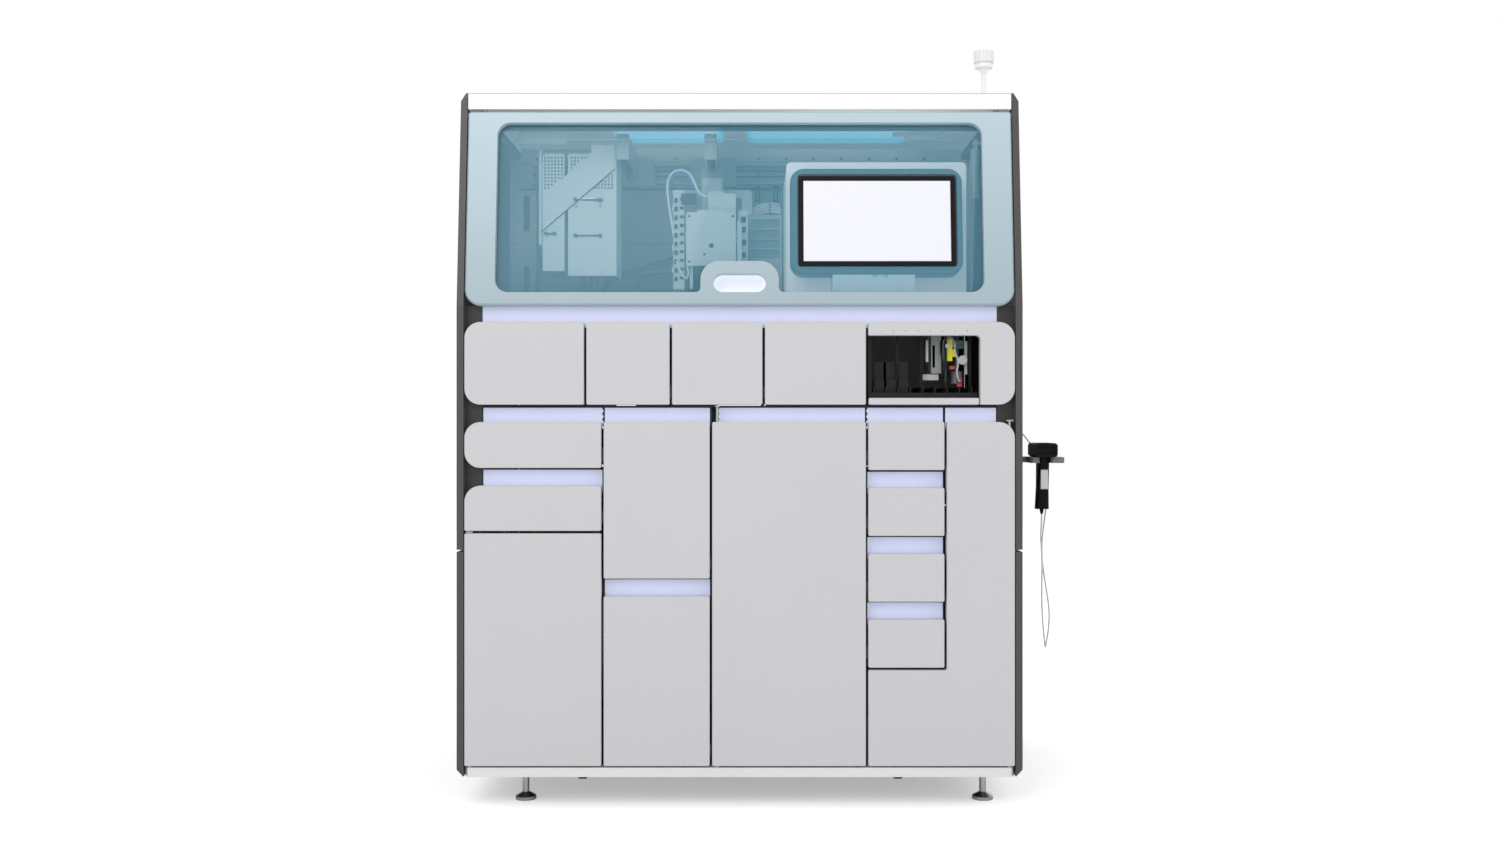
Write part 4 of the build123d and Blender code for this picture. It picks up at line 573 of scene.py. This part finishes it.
# Back wall and roof of the chamber: a rail profile held by rows of cap screws, slotted posts,
# a bracket and a lamp plate under the roof, and cable carriers of dark plastic links.
SCREW_X0, SCREW_PITCH, SCREWS = -556.0, 75.4, 15
mesh = bmesh.new()
for step in range(SCREWS):
    x = SCREW_X0 + step * SCREW_PITCH
    stud(mesh, x, 66, 1581, 3.4, 4, 12)
    stud(mesh, x, 103, 1632, 3.4, 4, 12)
piece("rail_screws", mesh, knob_steel, "cabinet", smooth=False)
mesh = bmesh.new()
for side in (-1, 1):
    for z0, z1 in ((1432, 1527), (1240, 1337)):
        block(mesh, side * 588, side * 572, 79, 80.2, z0, z1)
    for z in (1460, 1300):
        stud(mesh, side * 598, 79.6, z, 3.2, 1.5, 12)
piece("post_slots", mesh, dark_parts_and_shade, "cabinet")
mesh = bmesh.new()
block(mesh, -553, -431, -236, -226, 1604, 1656)
block(mesh, -532, -470, -238, -236, 1632, 1640)
block(mesh, 377, 505, -262, -254, 1618, 1629.5)
block(mesh, 404, 478, -262, -254, 1612, 1618)
stud(mesh, 430, -264, 1622, 6, 8)
block(mesh, -520, 560, -264, -261, 1609.5, 1611.5)
piece("roof_brackets", mesh, chamber_coat, "cabinet")
mesh = bmesh.new()
block(mesh, -600, 600, 92, 96, 1546, 1548)
block(mesh, -600, 600, 92, 96, 1616, 1618)
block(mesh, -550, 550, 59.2, 60, 1574, 1576.5)
block(mesh, -550, 550, 59.2, 60, 1589, 1591)
piece("wall_shadow_lines", mesh, dark_parts_and_shade, "cabinet")


LINK_PITCH, LINK_SHARE = 12.0 * MM, 0.86
CARRIER_Y = 70


def carrier(name, route, half_wide, half_high):
    """A cable carrier: a flat band of links along a smooth line in X and Z."""
    line = spline_points(name, [(x, CARRIER_Y, z) for x, z in route])
    mesh = bmesh.new()
    carried = 0.0
    for first, second in zip(line, line[1:]):
        span = (second - first).length
        along = (second - first).normalized()
        while carried < span:
            place = first + along * carried
            made = bmesh.ops.create_cube(mesh, size=1)["verts"]
            size = (LINK_PITCH * LINK_SHARE, half_wide * 2 * MM, half_high * 2 * MM)
            bmesh.ops.scale(mesh, vec=size, verts=made)
            turn = Matrix.Rotation(-math.atan2(along.z, along.x), 3, "Y")
            bmesh.ops.rotate(mesh, matrix=turn, verts=made)
            bmesh.ops.translate(mesh, vec=place, verts=made)
            carried += LINK_PITCH
        carried -= span
    return piece(name, mesh, carrier_black, "cabinet")


carrier("carrier_slope", [(-140, 1366), (-188, 1354), (-323, 1313), (-352, 1300), (-368, 1276), (-372, 1240),
                          (-372, 1200)], 12, 6)
carrier("carrier_loop", [(-130, 1311), (-180, 1311), (-250, 1311), (-276, 1302), (-276, 1277), (-250, 1268),
                         (-180, 1268), (-130, 1268)], 12, 6)

# Gripper unit: a screwed front plate, an upright full of small valves and connectors, and the
# white and blue hoses that rise in a loop above it.
hose_white = surface("hose_white_pvc", "#e9edee", 0.35)
hose_blue = surface("hose_blue_pu", "#4f86d8", 0.35)
GRIP_FACE = -206.0
mesh = bmesh.new()
for x, z in ((-89.6, 1334.5), (-128, 1430), (-18, 1430), (-128, 1316), (-18, 1316)):
    stud(mesh, x, GRIP_FACE - 0.8, z, 3.0, 1.6, 12)
stud(mesh, -72, GRIP_FACE - 0.3, 1356.6, 6.0, 0.6, 20)
for z in range(1270, 1490, 22):
    block(mesh, -166, -158, -184, -180, z, z + 11)
    block(mesh, -152, -142, -183, -180, z + 5, z + 12)
for z in (1330, 1362, 1394, 1420):
    block(mesh, 2, 14, -172, -170, z, z + 14)
block(mesh, -148, -110, -188, -184, 1462, 1490)
piece("gripper_fittings", mesh, dark_parts_and_shade, "gripper_head")
mesh = bmesh.new()
sheet_form(mesh, [(-8, 1312), (4, 1312), (4, 1408), (-8, 1424)], -196, -193)
for z in (1290, 1346, 1402, 1448):
    block(mesh, -171.5, -166, -186, -178, z, z + 16)
sheet_form(mesh, [(-81, 1490), (-81, 1496), (-40, 1496), (-40, 1490)], -184, -176)
piece("gripper_plates", mesh, chamber_coat, "gripper_head")
WHITE_LOOP = [(-168, -176, 1385), (-178, -174, 1450), (-187, -172, 1512), (-176, -170, 1545),
              (-152, -168, 1555), (-128, -170, 1545), (-116, -172, 1520), (-106, -174, 1494),
              (-84, -176, 1483), (-60, -178, 1480)]
BLUE_LOOP = [(-146, -178, 1380), (-147, -178, 1440), (-176, -174, 1490), (-182, -172, 1516),
             (-166, -171, 1541), (-146, -170, 1544), (-126, -171, 1534), (-114, -172, 1508)]
LOW_LOOP = [(-160, -184, 1320), (-150, -190, 1290), (-136, -194, 1272), (-128, -192, 1290),
            (-134, -186, 1312)]
hose("hose_loop_white", WHITE_LOOP, 3.0, hose_white, "gripper_head")
hose("hose_loop_blue", BLUE_LOOP, 2.2, hose_blue, "gripper_head")
hose("hose_gripper_low", LOW_LOOP, 2.4, hose_white, "gripper_head")

# Thermal module: thin aluminium fins upright in four rows, with its sensor cables above and the
# sheet bracket that the wall clips stand on.
fin_teal = surface("fin_anodised", "#a9c4ca", 0.45, metal=0.4)
FIN_ROWS, ROW_TOP, ROW_PITCH, ROW_H = 4, 1443, 26, 22
FIN_COUNT, FIN_X0, FIN_PITCH, FIN_T = 17, 27.5, 4.5, 1.3
mesh = bmesh.new()
for row in range(FIN_ROWS):
    z1 = ROW_TOP - row * ROW_PITCH
    for fin in range(FIN_COUNT):
        x = FIN_X0 + fin * FIN_PITCH
        block(mesh, x, x + FIN_T, -59.5, -49, z1 - ROW_H + 0.2, z1 - 0.2)
piece("thermal_fins", mesh, fin_teal, "cabinet")
mesh = bmesh.new()
BRACKET_FORM = [(-157, 1499), (3, 1499), (3, 1456), (30, 1456), (30, 1512), (22, 1520), (-157, 1520)]
sheet_form(mesh, BRACKET_FORM, -62.5, -60.5)
piece("thermal_bracket", mesh, chamber_coat, "cabinet")
mesh = bmesh.new()
for x in (-60, 45, 92):
    block(mesh, x - 8, x + 8, -66, -62.5, 1524, 1530)
    block(mesh, x - 8, x + 8, -66, -62.5, 1488, 1494)
    block(mesh, x - 6, x - 2, -66, -63, 1494, 1524)
    block(mesh, x + 2, x + 6, -66, -63, 1494, 1524)
piece("wall_clips", mesh, dark_parts_and_shade, "cabinet")
for number in range(4):
    z = 1484 - number * 7
    sweep = [(30 + number * 6, -40, 1456), (34 + number * 5, -44, z - 8), (58, -52, z), (84, -54, z + 3),
             (106, -50, z - 2)]
    hose(f"sensor_cable_{number}", sweep, 3.2, hose_white, "cabinet")
BLUE_SENSOR = [(76, -60, 1456), (76, -62, 1500), (84, -63, 1524), (98, -63, 1524), (106, -62, 1500),
               (106, -60, 1470)]
hose("sensor_cable_blue", BLUE_SENSOR, 2.0, hose_blue, "cabinet")

# Screen: a display in a black bezel on a painted housing and pedestal. Behind them stands the
# module cover, in white-coated sheet, with painted light, a glow, against the shade of the housing.
housing_paint = surface("housing_teal_grey_paint", "#41545e", 0.45)
bezel_black = surface("bezel_black_plastic", "#121213", 0.35, 0.6, shine=0.15)
display_glass = surface("display_lit_glass", "#efeffa", 0.12, 2.0, 0.001, shade=0.0)
dress("screen_housing", housing_paint)
dress("screen_pedestal", surface("pedestal_paint", "#c4d4da", 0.45))
# Painted light: the module cover glows to lift it out of the screen housing's shade.
dress("module_cover", surface("module_cover_white_painted_glow", "#f4f6f6", 0.5, glow=0.22))
BEZEL_SIDE, BEZEL_END = 11.6 * MM, 11.0 * MM


def screen_face(centre, normal):
    """Lit glass inside the bezel, on the face towards the user."""
    low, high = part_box("touch_screen")
    across = low.x + BEZEL_SIDE < centre.x < high.x - BEZEL_SIDE
    inside = across and low.z + BEZEL_END < centre.z < high.z - BEZEL_END
    return 1 if inside and normal.y < -0.9 else 0


dress("touch_screen", bezel_black, display_glass, choose=screen_face)

# A printed symbol on the pedestal marks where a card is held: four arcs on each side of a point.
SYMBOL_X, SYMBOL_Z = 338.0, 1270.0
SYMBOL_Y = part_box("screen_pedestal")[0].y / MM - 0.5
ARC_REACH, ARC_STEPS, ARC_WIDE = 32, 6, 1.6
ARC_STEP = 2 * ARC_REACH / ARC_STEPS
mesh = bmesh.new()
for radius in (5, 9, 13, 17):
    for side in (-1, 1):
        for step in range(ARC_STEPS):
            a0 = math.radians(-ARC_REACH + step * ARC_STEP)
            a1 = math.radians(-ARC_REACH + (step + 1) * ARC_STEP)
            patch = ((a0, radius), (a1, radius), (a1, radius + ARC_WIDE), (a0, radius + ARC_WIDE))
            points = [(SYMBOL_X + side * math.cos(a) * r, SYMBOL_Z + math.sin(a) * r) for a, r in patch]
            sheet_form(mesh, points, SYMBOL_Y, SYMBOL_Y + 0.6)
piece("tap_symbol", mesh, surface("printed_teal", "#2f5a66", 0.6), "cabinet")

# Rack bay: black moulded tray and racks, with the grey reader module beside them. The bottles and
# the power module stand behind the doors below.
rack_black = surface("rack_black_plastic", "#1b1b1c", 0.5, 0.8, 0.03, shine=0.25)
reader_grey = surface("reader_grey_plastic", "#8d8f91", 0.5)
dress("rack_tray", rack_black)
for lane in (1, 2, 3):
    dress(f"sample_rack_{lane}", rack_black)
dress("sample_module", reader_grey)
dress("reagent_bottles", surface("bottle_hdpe", "#e4e4df", 0.4))
dress("power_module", zinc_plate)

# The rack bay's contents: a bar code reader in yellow plastic, a circuit board with its plugs, a
# small pump, two cables, and lane numerals printed along the top of the opening.
ring_yellow = surface("reader_yellow_plastic", "#e8dd2a", 0.4)
board_green = surface("board_solder_mask", "#1d5a44", 0.4)
plug_red = surface("plug_red_plastic", "#c23b34", 0.45)
print_grey = surface("printed_grey", "#77797c", 0.6)
LANES, LANE_FIRST, LANE_PITCH = 8, 334.7, 29.2
NUMERAL_H, NUMERAL_T = 0.0065, 0.0001
NUMERAL_Y, NUMERAL_Z = -395.15, 1128
for number in range(LANES):
    words = bpy.data.curves.new(f"lane_{number + 1}", "FONT")
    words.body = str(number + 1)
    words.size = NUMERAL_H
    words.align_x = "CENTER"
    words.extrude = NUMERAL_T
    holder = bpy.data.objects.new(f"lane_{number + 1}_line", words)
    scene.collection.objects.link(holder)
    printed = bpy.data.meshes.new_from_object(holder)
    bpy.data.objects.remove(holder)
    numeral = bpy.data.objects.new(f"lane_numeral_{number + 1}", printed)
    scene.collection.objects.link(numeral)
    numeral.location = Vector((LANE_FIRST + number * LANE_PITCH + SHIFT, NUMERAL_Y, NUMERAL_Z)) * MM
    numeral.rotation_euler = (math.radians(90), 0, 0)
    printed.materials.append(print_grey)
    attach(numeral, "cabinet")
mesh = bmesh.new()
block(mesh, 498, 512, -336, -326, 1062, 1114)
block(mesh, 510, 520, -334, -326, 1072, 1090)
piece("reader_yellow", mesh, ring_yellow, "cabinet")
mesh = bmesh.new()
block(mesh, 488, 497, -338, -334, 1040, 1104)
block(mesh, 520, 540, -328, -326, 1092, 1112)
piece("reader_board", mesh, board_green, "cabinet")
mesh = bmesh.new()
for x, z in ((530, 1016), (530, 1004), (512, 1046)):
    block(mesh, x - 6, x + 6, -332, -322, z - 4, z + 4)
piece("reader_plugs", mesh, plug_red, "cabinet")
mesh = bmesh.new()
for x, z0, z1 in ((468, 1046, 1100), (452, 1060, 1112), (546, 1030, 1110)):
    block(mesh, x - 3, x + 3, -330, -324, z0, z1)
block(mesh, 440, 480, -326, -322, 1016, 1030)
stud(mesh, 536, -338, 1064, 11, 14, 20)
stud(mesh, 500, -340, 1098, 6, 8, 20)
piece("reader_fittings", mesh, surface("reader_light_grey", "#b9bcbe", 0.45), "cabinet")
WHITE_CABLE = [(520, -330, 1110), (516, -338, 1086), (528, -340, 1060), (520, -336, 1030), (532, -330, 1010)]
BLACK_CABLE = [(486, -330, 1112), (482, -338, 1084), (492, -340, 1052), (486, -336, 1020)]
cable_jacket = surface("reader_cable_jacket", "#d8dadb", 0.5)
hose("reader_cable_white", WHITE_CABLE, 1.8, cable_jacket, "cabinet")
hose("reader_cable_black", BLACK_CABLE, 1.8, rack_black, "cabinet")

# Beacon: a white moulded lamp with a ribbed crown, on a white tube that is screwed to the roof.
dress("beacon", surface("beacon_white_plastic", "#f0f0f0", 0.4))

# Hand scanner: a black moulded head and handle in a painted fork on the side panel. Its thin pale
# cord leaves a grommet above, hangs in one long loop and ends in the handle's foot.
scanner_black = surface("scanner_black_plastic", "#0b0b0c", 0.5, 0.6, 0.03, shine=0.12)
bracket_grey = surface("bracket_grey_paint", "#6d6e70", 0.5)
dress("scanner_bracket", bracket_grey)
dress("handheld_scanner", scanner_black)
dress("scanner_trigger", surface("trigger_grey_plastic", "#c6c7c9", 0.4))
cord_jacket = surface("cord_pvc_jacket", "#c9cbcd", 0.45, 1.0, 0.01)
CORD_ROUTE = [
    (676, -238, 893), (694, -238, 893), (713, -237.5, 871), (731, -236, 845), (745, -236.5, 812),
    (757, -238, 772), (761.5, -239, 730), (756, -241, 685), (748.5, -243, 635), (746.5, -245, 585),
    (752, -246, 535), (760.5, -247, 485), (765.5, -248, 440), (762, -251, 400), (756, -256, 374),
    (752, -266, 363), (748, -278, 363.5), (744.5, -287, 380), (741, -289, 412), (737.8, -289.5, 458),
    (736.8, -291, 508), (738.6, -290, 560), (737, -288.5, 606), (734.5, -289.5, 640), (737.4, -288, 667),
    (737.4, -288, 691),
]
CORD_DIAMETER = 3.5
cord_points = spline_points("scanner_cord_line", CORD_ROUTE)
cord = tube("scanner_cord_line", cord_points, CORD_DIAMETER / 2 * MM)
cord.data.materials.append(cord_jacket)
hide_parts("scanner_cord")
tuple(cord_points[0])
[tuple(p) for p in cord_points]
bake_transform(cord)
